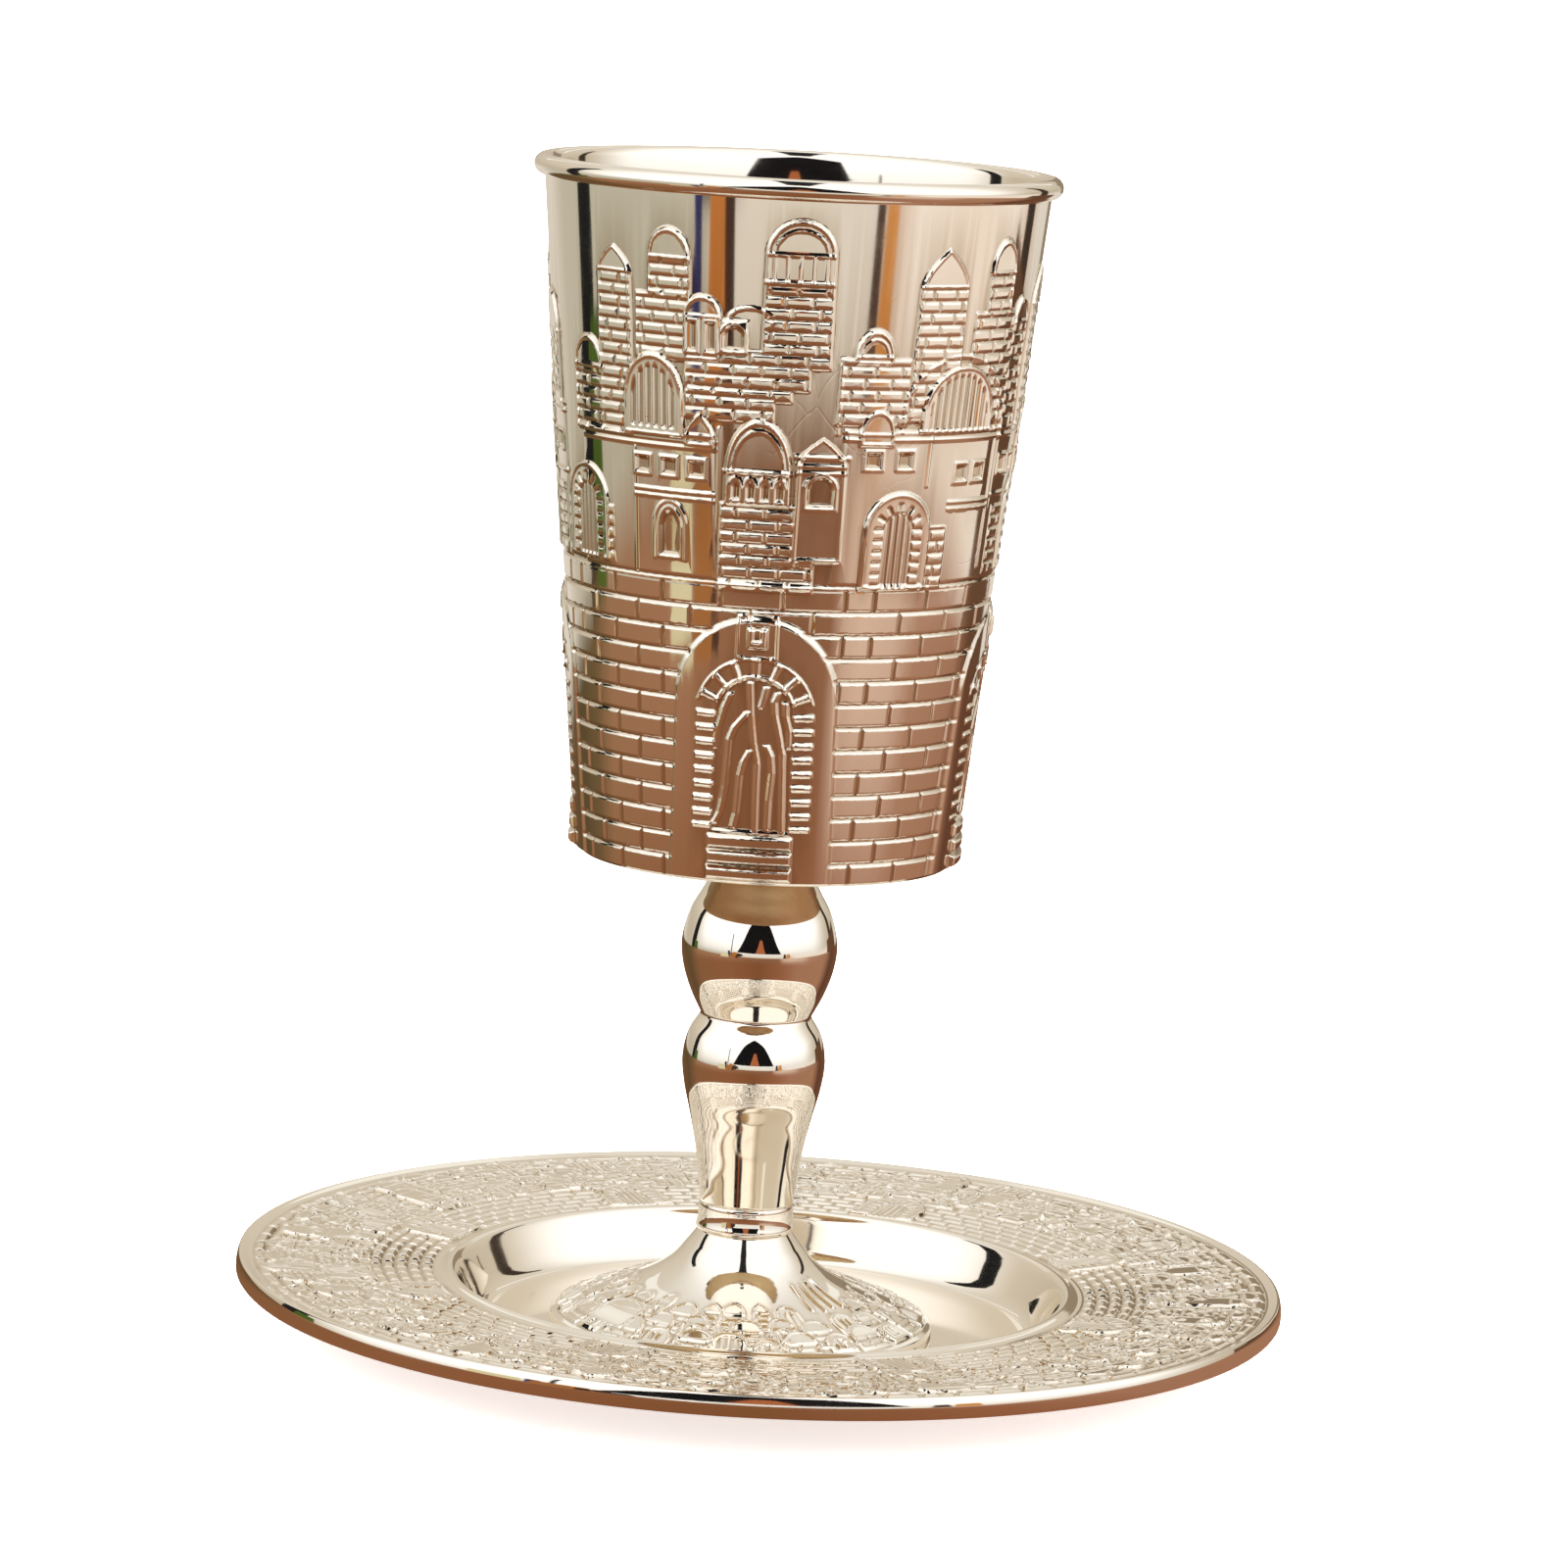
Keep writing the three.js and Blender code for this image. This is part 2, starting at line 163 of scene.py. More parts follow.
floor_shader.inputs["Roughness"].default_value = 0.9
floor_shader.inputs["Emission Color"].default_value = (1.0, 0.995, 0.985, 1)
floor_shader.inputs["Emission Strength"].default_value = 0.66
floor.data.materials.append(floor_material)
floor.visible_glossy = False
floor.visible_shadow = False


def ramp_of(tree, value, low, high, stops):
    """A colour ramp over a value's range, from [value, colour] stops."""
    share = add_node(tree, "MapRange", {"Value": value, "From Min": low, "From Max": high})
    ramp = add_node(tree, "ValToRGB", {0: share.outputs[0]})
    elements = ramp.color_ramp.elements
    elements.remove(elements[1])
    elements[0].position = (stops[0][0] - low) / (high - low)
    elements[0].color = (*stops[0][1], 1)
    for spot, colour in stops[1:]:
        elements.new((spot - low) / (high - low)).color = (*colour, 1)
    return ramp.outputs[0]


def blend_colours(tree, value, low, high, first, second):
    """Goes from one colour to another as a value passes from low to high."""
    limits = {"Value": value, "From Min": low, "From Max": high}
    step = add_node(tree, "MapRange", limits, interpolation_type="SMOOTHSTEP")
    mixed = add_node(tree, "Mix", {"Factor": step.outputs[0], 6: first, 7: second}, data_type="RGBA")
    return mixed.outputs[2]


# The table top is a warm brown, salmon on the right where a window glances off it, olive on the left.
bm = bmesh.new()
bmesh.ops.create_circle(bm, cap_ends=True, segments=ROUND_STEPS, radius=TABLE_RADIUS)
bmesh.ops.translate(bm, verts=bm.verts, vec=(0, 0, -0.001))
table = mesh_from(bm, "table_top")
table_material = glow_material("table top", (0.3, 0.12, 0.05))
tree = table_material.node_tree
place = add_node(tree, "TexCoord").outputs["Object"]
split = add_node(tree, "SeparateXYZ", {0: place})
forward = add_node(tree, "Math", {0: split.outputs["Y"], 1: -1}, operation="MULTIPLY")
facing = add_node(tree, "Math", {0: split.outputs["X"], 1: forward.outputs[0]}, operation="ARCTAN2")
degrees_round = add_node(tree, "Math", {0: facing.outputs[0]}, operation="DEGREES").outputs[0]
far_table = [
    (-180, (0.2, 0.09, 0.045)),
    (-135, (0.1, 0.07, 0.03)),
    (-115, (0.16, 0.1, 0.045)),
    (-100, (0.32, 0.17, 0.09)),
    (-55, (0.36, 0.18, 0.1)),
    (-15, (0.27, 0.125, 0.065)),
    (15, (0.26, 0.12, 0.065)),
    (29, (0.28, 0.13, 0.07)),
    (36, (0.6, 0.42, 0.32)),
    (46, (0.68, 0.49, 0.38)),
    (66, (0.62, 0.43, 0.33)),
    (80, (0.42, 0.23, 0.15)),
    (115, (0.36, 0.18, 0.11)),
    (130, (0.13, 0.055, 0.03)),
    (180, (0.2, 0.09, 0.045)),
]
near_table = [
    (-180, (0.2, 0.09, 0.045)),
    (-125, (0.12, 0.07, 0.03)),
    (-100, (0.24, 0.11, 0.05)),
    (-40, (0.27, 0.11, 0.05)),
    (0, (0.22, 0.085, 0.035)),
    (35, (0.3, 0.12, 0.06)),
    (60, (0.37, 0.18, 0.11)),
    (110, (0.38, 0.19, 0.11)),
    (130, (0.12, 0.05, 0.03)),
    (180, (0.2, 0.09, 0.045)),
]
far_colour = ramp_of(tree, degrees_round, -180, 180, far_table)
near_colour = ramp_of(tree, degrees_round, -180, 180, near_table)
reach = add_node(tree, "VectorMath", {0: place}, operation="LENGTH").outputs["Value"]
glow = tree.nodes["Emission"]
tree.links.new(blend_colours(tree, reach, *TABLE_CHANGE, near_colour, far_colour), glow.inputs["Color"])
edge = add_node(tree, "MapRange", {"Value": reach, "From Min": TABLE_FADE, "From Max": TABLE_RADIUS})
clear = add_node(tree, "BsdfTransparent")
fade = add_node(tree, "MixShader", {"Fac": edge.outputs[0], 1: glow.outputs[0], 2: clear.outputs[0]})
tree.links.new(fade.outputs[0], tree.nodes["Material Output"].inputs["Surface"])
table.data.materials.append(table_material)
seen_only_in_metal(table)

# Each card: its turn from the camera's side, distance, foot, top, widths at foot and top, and colour.
CARDS = {
    "dark_front_card": (0, 0.80, 0.055, 0.76, 1.02, 0.05, (0.008, 0.007, 0.008)),
    "warm_front_card": (2, 0.78, 0.06, 0.27, 0.2, 0.05, (0.42, 0.13, 0.05)),
    "navy_card": (-44.5, 0.47, -0.03, 0.06, 0.032, 0.026, (0.03, 0.03, 0.11)),
    "orange_left_card": (-35.5, 0.47, -0.03, 0.05, 0.075, 0.05, (0.5, 0.18, 0.045)),
    "dark_behind_orange": (-30, 0.48, -0.03, 0.04, 0.07, 0.03, (0.06, 0.03, 0.02)),
    "post_left_card": (-41, 0.6, 0.0, 0.24, 0.014, 0.014, (0.03, 0.025, 0.02)),
    "shelf_left_card": (-34, 0.62, -0.01, 0.03, 0.24, 0.2, (0.03, 0.02, 0.02)),
    "orange_right_card": (43, 0.47, -0.03, 0.05, 0.06, 0.04, (0.62, 0.26, 0.07)),
    "dark_beside_orange": (37.5, 0.48, -0.03, 0.05, 0.045, 0.025, (0.07, 0.04, 0.03)),
    "dark_left_card": (-112, 0.5, -0.1, 0.5, 0.1, 0.06, (0.015, 0.015, 0.015)),
    "dark_right_low_card": (133, 0.49, -0.1, 0.06, 0.28, 0.24, (0.13, 0.065, 0.035)),
    "dark_right_card": (131, 0.5, 0.0, 0.4, 0.08, 0.04, (0.05, 0.035, 0.025)),
    "cream_left_card": (-51, 0.3, -0.001, 0.032, 0.066, 0.06, (0.7, 0.63, 0.4)),
    "brown_left_card": (-39, 0.3, -0.001, 0.032, 0.05, 0.04, (0.36, 0.145, 0.045)),
    "dark_left_low_card": (-32.5, 0.305, -0.001, 0.028, 0.02, 0.016, (0.07, 0.035, 0.02)),
    "green_left_card": (-106, 0.4, -0.02, 0.05, 0.06, 0.05, (0.07, 0.12, 0.02)),
    "dim_corner_card": (167, 1.05, 0.02, 0.34, 0.32, 0.32, (0.3, 0.235, 0.165)),
}
for name, card in CARDS.items():
    standing_card(name, *card)
WINDOW_PANES = (158, 172, 189, 203)
for number, azimuth in enumerate(WINDOW_PANES):
    standing_card(f"window_pane_{number}", azimuth, 1.0, 0.42, 0.95, 0.09, 0.09, (0.95, 0.93, 0.87))

# A dark joint across the ceiling, which runs down the middle of the foot as a fine line.
bm = bmesh.new()
strip = [(-0.09, -0.8, 1.15), (0.09, -0.8, 1.15), (0.09, 0.25, 1.15), (-0.09, 0.25, 1.15)]
bm.faces.new([bm.verts.new(corner) for corner in strip])
ceiling_joint = mesh_from(bm, "ceiling_joint_card")
ceiling_joint.data.materials.append(glow_material("ceiling joint", (0.02, 0.02, 0.02)))
seen_only_in_metal(ceiling_joint)

# The surround: white windows above and in front, champagne behind, cream to salmon below the horizon.
world = bpy.data.worlds.new("surround")
bpy.context.scene.world = world
world.use_nodes = True
tree = world.node_tree
split = add_node(tree, "SeparateXYZ", {0: add_node(tree, "TexCoord").outputs["Generated"]})
low_room = [
    (-0.95, (0.52, 0.49, 0.4)),
    (-0.68, (0.54, 0.5, 0.41)),
    (-0.45, (0.74, 0.68, 0.6)),
    (0.1, (0.74, 0.68, 0.59)),
    (0.58, (0.76, 0.7, 0.63)),
    (0.7, (0.66, 0.49, 0.38)),
    (0.84, (0.92, 0.83, 0.75)),
    (1.0, (0.88, 0.76, 0.66)),
]
front_room = [
    (0.0, (0.88, 0.86, 0.82)),
    (0.06, (1.0, 0.99, 0.97)),
    (0.22, (1.3, 1.3, 1.3)),
    (1.0, (1.2, 1.2, 1.2)),
]
back_room = [
    (0.0, (0.55, 0.48, 0.38)),
    (0.26, (0.66, 0.59, 0.48)),
    (0.6, (0.72, 0.67, 0.58)),
    (1.0, (0.95, 0.94, 0.92)),
]
low_colour = ramp_of(tree, split.outputs["X"], -1, 1, low_room)
front_colour = ramp_of(tree, split.outputs["Z"], 0, 1, front_room)
back_colour = ramp_of(tree, split.outputs["Z"], 0, 1, back_room)
upper_colour = blend_colours(tree, split.outputs["Y"], -0.1, 0.6, front_colour, back_colour)
all_round = blend_colours(tree, split.outputs["Z"], -0.12, 0.02, low_colour, upper_colour)
tree.links.new(all_round, tree.nodes["Background"].inputs["Color"])


def softbox(name, place, size, power):
    """A soft lamp aimed at the stem, which the metal itself doesn't mirror."""
    lamp = bpy.data.lights.new(name, "AREA")
    lamp.shape = "RECTANGLE"
    lamp.size, lamp.size_y = size
    lamp.energy = power
    holder = link(bpy.data.objects.new(name, lamp))
    holder.location = place
    aim = Vector((0, 0, LAMP_AIM)) - holder.location
    holder.rotation_euler = aim.to_track_quat("-Z", "Y").to_euler()
    holder.visible_glossy = False


softbox("softbox_left", (-0.75, -0.4, 0.85), (1.2, 1.0), 8)
softbox("softbox_right", (0.85, -0.3, 0.75), (1.0, 1.0), 7)
softbox("softbox_back", (-0.2, 0.9, 0.8), (0.9, 0.5), 7)
bpy.context.scene.view_settings.view_transform = "Standard"
bpy.context.scene.view_settings.look = "None"

# ---- Stem ---------------------------------------------------------------------------------------
# Two polished bulbs turned in one piece, meeting in a sharp waist; the lower one draws out into a
# neck over a plain ring. Soldered to the bowl above and the foot below.
MM = 0.001
STEM_TURNS = 160
STEM_LOW = 13.2
STEM_HIGH = 58.7
WAIST = (6.6, 39.4)
BULB_STEPS = 9
SCRATCH_DEPTH = 0.01 * MM


def smooth_run(marks, steps):
    """A smooth curve through [radius, height] marks, with that many even steps between each pair."""
    points = [Vector(mark) for mark in marks]
    points = [2 * points[0] - points[1], *points, 2 * points[-1] - points[-2]]
    run = []
    for a, b, c, d in zip(points, points[1:], points[2:], points[3:]):
        for step in range(steps):
            t = step / steps
            curve = 2 * b + (c - a) * t
            curve += (2 * a - 5 * b + 4 * c - d) * t * t
            curve += (3 * b - a - 3 * c + d) * t**3
            run.append(0.5 * curve)
    run.append(points[-2])
    return [tuple(point) for point in run]


def turned(profile, steps, axis):
    """A form turned about an upright axis from [radius, height] points in millimetres.

    A sixteenth of the turn is spun and then doubled four times, so the steps are a multiple of 16.
    """
    bm = bmesh.new()
    centre = (axis.x, axis.y, 0)
    corners = [bm.verts.new((axis.x + radius * MM, axis.y, height * MM)) for radius, height in profile]
    edges = [bm.edges.new(pair) for pair in zip(corners, corners[1:])]
    share = 2 * math.pi / 16
    bmesh.ops.spin(bm, geom=corners + edges, cent=centre, axis=(0, 0, 1), angle=share, steps=steps // 16)
    for double in range(4):
        copied = bmesh.ops.duplicate(bm, geom=bm.verts[:] + bm.edges[:] + bm.faces[:])["geom"]
        copied = [part for part in copied if isinstance(part, bmesh.types.BMVert)]
        onward = Matrix.Rotation(share * 2**double, 3, "Z")
        bmesh.ops.rotate(bm, verts=copied, cent=centre, matrix=onward)
    bmesh.ops.remove_doubles(bm, verts=bm.verts, dist=1e-6)
    bmesh.ops.recalc_face_normals(bm, faces=bm.faces)
    for face in bm.faces:
        face.smooth = True
    return bm


def handling_marks():
    """Wear of polished plate: broad smudges that dull it a little and fine hairline scratches."""
    group = bpy.data.node_groups.new("handling marks", "ShaderNodeTree")
    scale = group.interface.new_socket(name="Scale", in_out="INPUT", socket_type="NodeSocketFloat")
    scale.default_value = 1.0
    for output in ("Dull", "Scratch"):
        group.interface.new_socket(name=output, in_out="OUTPUT", socket_type="NodeSocketFloat")
    source = group.nodes.new("NodeGroupInput")
    result = group.nodes.new("NodeGroupOutput")
    place = {0: add_node(group, "TexCoord").outputs["Object"], "Scale": source.outputs["Scale"]}
    scaled = add_node(group, "VectorMath", place, operation="SCALE").outputs[0]
    smudge = add_node(group, "TexNoise", {"Vector": scaled, "Scale": 60, "Detail": 5, "Roughness": 0.6})
    patch = add_node(group, "MapRange", {"Value": smudge.outputs["Fac"], "From Min": 0.5, "From Max": 0.75})
    warp = add_node(group, "TexNoise", {"Vector": scaled, "Scale": 45})
    bend = {"Factor": 0.012, 4: scaled, 5: warp.outputs["Color"]}
    bent = add_node(group, "Mix", bend, data_type="VECTOR")
    net = {"Vector": bent.outputs[1], "Scale": 130}
    cells = add_node(group, "TexVoronoi", net, feature="DISTANCE_TO_EDGE")
    edge = {"Value": cells.outputs["Distance"], "From Min": 0, "From Max": 0.02, "To Min": 1, "To Max": 0}
    hair = add_node(group, "MapRange", edge)
    few = add_node(group, "Math", {0: hair.outputs[0], 1: patch.outputs[0]}, operation="MULTIPLY")
    group.links.new(patch.outputs[0], result.inputs["Dull"])
    group.links.new(few.outputs[0], result.inputs["Scratch"])
    return group


marks_group = handling_marks()


def silver_plate(name, bright, deep, roughness, roughest):
    """Silver plate: bright on what hands polish, deeper in the recesses that the cloth doesn't reach."""
    material = bpy.data.materials.new(name)
    material.use_nodes = True
    tree = material.node_tree
    marks = add_node(tree, "Group", node_tree=marks_group)
    recess = add_node(tree, "Attribute", attribute_name="recess")
    tones = {"Factor": recess.outputs["Fac"], 6: (*bright, 1), 7: (*deep, 1)}
    tone = add_node(tree, "Mix", tones, data_type="RGBA")
    polish = {"Value": marks.outputs["Dull"], "To Min": roughness, "To Max": roughest}
    dull = add_node(tree, "MapRange", polish)
    scratch = {"Height": marks.outputs["Scratch"], "Strength": 0.4, "Distance": SCRATCH_DEPTH}
    bump = add_node(tree, "Bump", scratch, invert=True)
    shader = tree.nodes["Principled BSDF"]
    shader.inputs["Metallic"].default_value = 1
    tree.links.new(tone.outputs[2], shader.inputs["Base Color"])
    tree.links.new(dull.outputs[0], shader.inputs["Roughness"])
    tree.links.new(bump.outputs[0], shader.inputs["Normal"])
    return material


upper_bulb = [WAIST, (8.0, 42.2), (9.0, 45.2), (9.3, 48.2), (8.5, 51.7)]
upper_bulb += [(7.25, 54.1), (6.1, 56.3), (5.5, STEM_HIGH)]
lower_bulb = [(5.6, 16.5), (5.95, 19.6), (6.5, 23.2), (7.3, 27), (8.2, 30.7)]
lower_bulb += [(8.56, 34), (7.95, 37.1), WAIST]
ring = [(5.6, STEM_LOW), (5.93, 13.28), (5.97, 13.4), (5.85, 13.9), (5.75, 14.5)]
ring += [(5.69, 15.2), (5.66, 15.9), (5.655, 16.3), (5.62, 16.38), (5.5, 16.42)]
profile = [(0, STEM_LOW)] + ring + smooth_run(lower_bulb, BULB_STEPS)
profile += smooth_run(upper_bulb, BULB_STEPS)[1:] + [(0, STEM_HIGH)]
stem = mesh_from(turned(profile, STEM_TURNS, cup_axis), "turned_stem")
stem.data.materials.append(silver_plate("polished stem", (0.96, 0.905, 0.82), (0.8, 0.7, 0.55), 0.035, 0.09))
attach(stem, "root")
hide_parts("stem")

# ---- Foot ---------------------------------------------------------------------------------------
# A bell spun from sheet and struck with a ring of houses on its flare, plain and bright above them
# and hollow underneath. Its edge is a narrow upright band that stands in the saucer's well.
FOOT_TURNS = 560
FOOT_TRIANGLES = 165000
FOOT_METAL = 1.1
FOOT_LOW = 0.85
FOOT_RELIEF = (8.8, 22.3)
TOWN_COURSE = 1.37
FINE_COURSE = 0.95
BRICK_LENGTH = 2.4
BRICK_JOINT = 0.21
SHADING_REACH = 0.36 * MM


def smooth(t):
    """Rises softly from 0 to 1 as t does."""
    t = np.clip(t, 0, 1)
    return t * t * (3 - 2 * t)


def off_whole(value):
    """How far a value lies from the nearest whole number."""
    return np.abs(value - np.round(value))


class ReliefSheet:
    """Sheet metal unrolled: degrees round the axis across it, millimetres along the wall up it."""

    def __init__(self, low, high, radius_at, columns, pitch):
        self.low, self.high, self.pitch, self.columns = low, high, pitch, columns
        self.rows = int(round((high - low) / pitch)) + 1
        self.along = low + pitch * np.arange(self.rows)
        self.turn = np.arange(columns) * 360 / columns
        self.radius = radius_at(self.along)
        self.height = np.zeros((self.rows, columns))

    def window(self, middle, half_turn, low, high):
        """The cells round one motif, and how far across and along each one lies from it."""
        first = max(0, int((low - self.low) / self.pitch))
        last = min(self.rows, int((high - self.low) / self.pitch) + 2)
        count = min(self.columns, int(2 * half_turn * self.columns / 360) + 2)
        start = int(math.floor((middle - half_turn) * self.columns / 360))
        columns = np.arange(start, start + count)
        across = np.radians(columns * 360 / self.columns - middle)[None, :] * self.radius[first:last, None]
        return np.ix_(np.arange(first, last), columns % self.columns), across, self.along[first:last, None]

    def press(self, cells, inside, level, edge):
        """Sets the cells inside a shape to a level, with a soft edge."""
        share = smooth(inside / edge + 0.5)
        self.height[cells] = self.height[cells] * (1 - share) + level * share

    def raise_line(self, cells, distance, width, proud):
        """Adds a rounded ridge, or with a minus a groove, where the distance is nought."""
        self.height[cells] += proud * smooth(1 - np.abs(distance) / (width / 2))

    def sample(self, values, turn, along):
        """Reads values between the cells."""
        column = np.mod(turn, 360) * self.columns / 360
        row = np.clip((along - self.low) / self.pitch, 0, self.rows - 1.001)
        c0, r0 = np.floor(column).astype(int), np.floor(row).astype(int)
        fc, fr = column - c0, row - r0
        c0, c1 = c0 % self.columns, (c0 + 1) % self.columns
        lower = values[r0, c0] * (1 - fc) + values[r0, c1] * fc
        upper = values[r0 + 1, c0] * (1 - fc) + values[r0 + 1, c1] * fc
        return lower * (1 - fr) + upper * fr

    def soften(self, values, reach):
        """Averages over a square of cells."""
        total = np.zeros_like(values)
        for step in range(-reach, reach + 1):
            total += np.roll(values, step, axis=1)
        values = total / (2 * reach + 1)
        padded = np.pad(values, ((reach, reach), (0, 0)), mode="edge")
        total = np.zeros_like(values)
        for step in range(2 * reach + 1):
            total += padded[step : step + self.rows]
        return total / (2 * reach + 1)

    def finish(self):
        """Works out the slopes and the recesses once every motif is in."""
        self.height = self.soften(self.height, 1)
        step = self.radius[:, None] * math.radians(360 / self.columns)
        self.slope_round = (np.roll(self.height, -1, axis=1) - np.roll(self.height, 1, axis=1)) / (2 * step)
        self.slope_along = np.gradient(self.height, self.pitch, axis=0)
        around = self.soften(self.height, int(0.7 / self.pitch))
        self.recess = np.clip((around - self.height) / 0.13, 0, 1)


def head_inside(across, along, half, low, spring, apex, pointed=False):
    """How far inside a round- or point-headed shape each cell is, in millimetres; outside is minus."""
    up = np.maximum(along - spring, 0) / (apex - spring)
    out = np.abs(across) / half
    if pointed:
        head = (1 - out - up**1.7) * half * 0.85
    else:
        head = (1 - np.sqrt(out**2 + up**2)) * min(half, apex - spring)
        head = np.where(along < spring, half - np.abs(across), head)
    return np.minimum(head, along - low)


def box_inside(across, along, left, right, low, high):
    """The same for a square-headed shape."""
    return np.minimum(np.minimum(across - left, right - across), np.minimum(along - low, high - along))


def uneven(number, salt):
    """A repeatable share between 0 and 1 for a row or block number."""
    value = np.sin(number * 12.9898 + salt * 78.233) * 43758.5453
    return value - np.floor(value)


def brick_joint(across, along, course, salt):
    """The distance to the nearest joint of a wall of uneven bricks."""
    length = course * BRICK_LENGTH
    row = np.floor(along / course)
    shift = (row % 2) * 0.5 * length + (uneven(row, salt) - 0.5) * 0.5 * length
    return np.minimum(off_whole(along / course) * course, off_whole((across + shift) / length) * length)


def brickwork(sheet, cells, across, along, inside, course, salt, level, depth, groove=0.27):
    """Raises a patch of brickwork: a level with its joints sunk into it."""
    joint = brick_joint(across, along, course, salt)
    sheet.press(cells, inside, level, 0.3)
    sunk = smooth(1 - joint / (course * groove)) * smooth(inside / 0.3)
    sheet.height[cells] -= depth * sunk


def house(sheet, left, right, low, spring, apex, salt, pointed=False, level=0.28, course=TOWN_COURSE,
          bricks=True, reeded=False, scale=1.0):
    """One building of the crowd: brick, reeded or plain, round-headed or pointed, in a raised outline."""
    middle, half_turn = (left + right) / 2, (right - left) / 2
    cells, across, along = sheet.window(middle, half_turn + 4, low - 1.5, apex + 1.5)
    radius = float(np.interp(spring, sheet.along, sheet.radius))
    half = math.radians(half_turn) * radius
    inside = head_inside(across, along, half, low, spring, apex, pointed)
    sheet.press(cells, inside, level, 0.4 * scale)
    body = np.minimum(inside, spring - along)
    if reeded:
        reeds = np.abs(np.mod(across / (1.05 * scale), 1) - 0.5) * 2
        sunk = smooth(1.6 - 2.4 * reeds) * smooth((inside - 0.9 * scale) / 0.4)
        sheet.height[cells] -= 0.22 * scale * sunk
    elif bricks:
        groove = 0.27 / scale**2
        brickwork(sheet, cells, across, along, body, course, salt, level, BRICK_JOINT * scale, groove)
    sheet.raise_line(cells, inside - 0.25 * scale, 0.6 * scale, 0.14 * scale)
    if not reeded:
        sheet.raise_line(cells, np.where(inside > 0, along - spring, 9), 0.6 * scale, 0.12 * scale)


def line_up(sheet, turn, low, high, width=0.7, proud=0.16):
    """An upright ridge."""
    cells, across, along = sheet.window(turn, 3, low, high)
    sheet.raise_line(cells, across + 0 * along, width, proud)


def line_across(sheet, left, right, height, width=0.7, proud=0.18):
    """A level ridge."""
    cells, across, along = sheet.window((left + right) / 2, (right - left) / 2, height - 1, height + 1)
    sheet.raise_line(cells, along - height + 0 * across, width, proud)


def patch(sheet, left, right, low, high, salt, level=0.28, bricks=True):
    """A plain or brick stretch of wall."""
    middle = (left + right) / 2
    cells, across, along = sheet.window(middle, (right - left) / 2 + 3, low - 1, high + 1)
    radius = float(np.interp((low + high) / 2, sheet.along, sheet.radius))
    half = math.radians((right - left) / 2) * radius
    inside = box_inside(across, along, -half, half, low, high)
    if bricks:
        brickwork(sheet, cells, across, along - low, inside, TOWN_COURSE, salt, level, BRICK_JOINT)
    else:
        sheet.press(cells, inside, level, 0.4)


def window_hole(sheet, turn, height, wide, tall, round_head=False, sunk=0.3):
    """A window: a raised rim round a sunk pane."""
    cells, across, along = sheet.window(turn, 6, height - tall, height + tall)
    foot, head = height - tall / 2, height + tall / 2
    if round_head:
        inside = head_inside(across, along, wide / 2, foot, height + tall * 0.1, head)
    else:
        inside = box_inside(across, along, -wide / 2, wide / 2, foot, head)
    sheet.raise_line(cells, inside + 0.15, 0.7, 0.16)
    sheet.height[cells] -= sunk * smooth(inside / 0.4)


def outline(sheet, left, right, low, spring, apex, width, proud, inset=0.0):
    """A raised line round a round-headed shape."""
    middle, half_turn = (left + right) / 2, (right - left) / 2
    cells, across, along = sheet.window(middle, half_turn + 3, low, apex + 1.5)
    half = math.radians(half_turn) * float(np.interp(spring, sheet.along, sheet.radius))
    inside = head_inside(across, along, half, low - 5, spring, apex)
    sheet.raise_line(cells, inside - inset, width, proud)


def read_all(items, name, width=1, kind=float):
    """One property of every corner, face or vertex of a mesh."""
    values = np.empty(len(items) * width, dtype=kind)
    items.foreach_get(name, values)
    return values.reshape(-1, width) if width > 1 else values


def round_axis(co, axis):
    """How far corners lie to the side of an upright axis, in metres, and their turn from the front."""
    side = co - np.array([axis.x, axis.y, 0])
    return side, np.hypot(side[:, 0], side[:, 1]), np.degrees(np.arctan2(side[:, 0], -side[:, 1]))


def press_relief(bm, sheet, axis, lying, band):
    """Moves a relief band's corners by the sheet's height: up on a lying sheet, outwards on a wall."""
    bm.verts.ensure_lookup_table()
    co = np.array([vert.co for vert in bm.verts])
    chosen = np.nonzero(band(co))[0]
    side, radius, turn = round_axis(co[chosen], axis)
    proud = sheet.sample(sheet.height, turn, (radius if lying else side[:, 2]) / MM) * MM
    for index, lift, x, y, reach in zip(chosen, proud, side[:, 0], side[:, 1], radius):
        vert = bm.verts[int(index)]
        if lying:
            vert.co.z += lift
        else:
            vert.co.x += x / reach * lift
            vert.co.y += y / reach * lift


def thin_relief(piece, band, target):
    """Thins a piece's relief band until the whole piece has a number of triangles."""
    mesh = piece.data
    group = piece.vertex_groups.new(name="relief")
    group.add(np.nonzero(band(read_all(mesh.vertices, "co", 3)))[0].tolist(), 1.0, "REPLACE")
    triangles = sum(len(face.vertices) - 2 for face in mesh.polygons)
    thin = piece.modifiers.new("thin", "DECIMATE")
    thin.ratio = min(1.0, target / triangles)
    thin.vertex_group = "relief"
    thin.vertex_group_factor = 1000
    graph = bpy.context.evaluated_depsgraph_get()
    finished = bpy.data.meshes.new_from_object(piece.evaluated_get(graph))
    piece.modifiers.clear()
    piece.vertex_groups.clear()
    piece.data = finished
    bpy.data.meshes.remove(mesh)


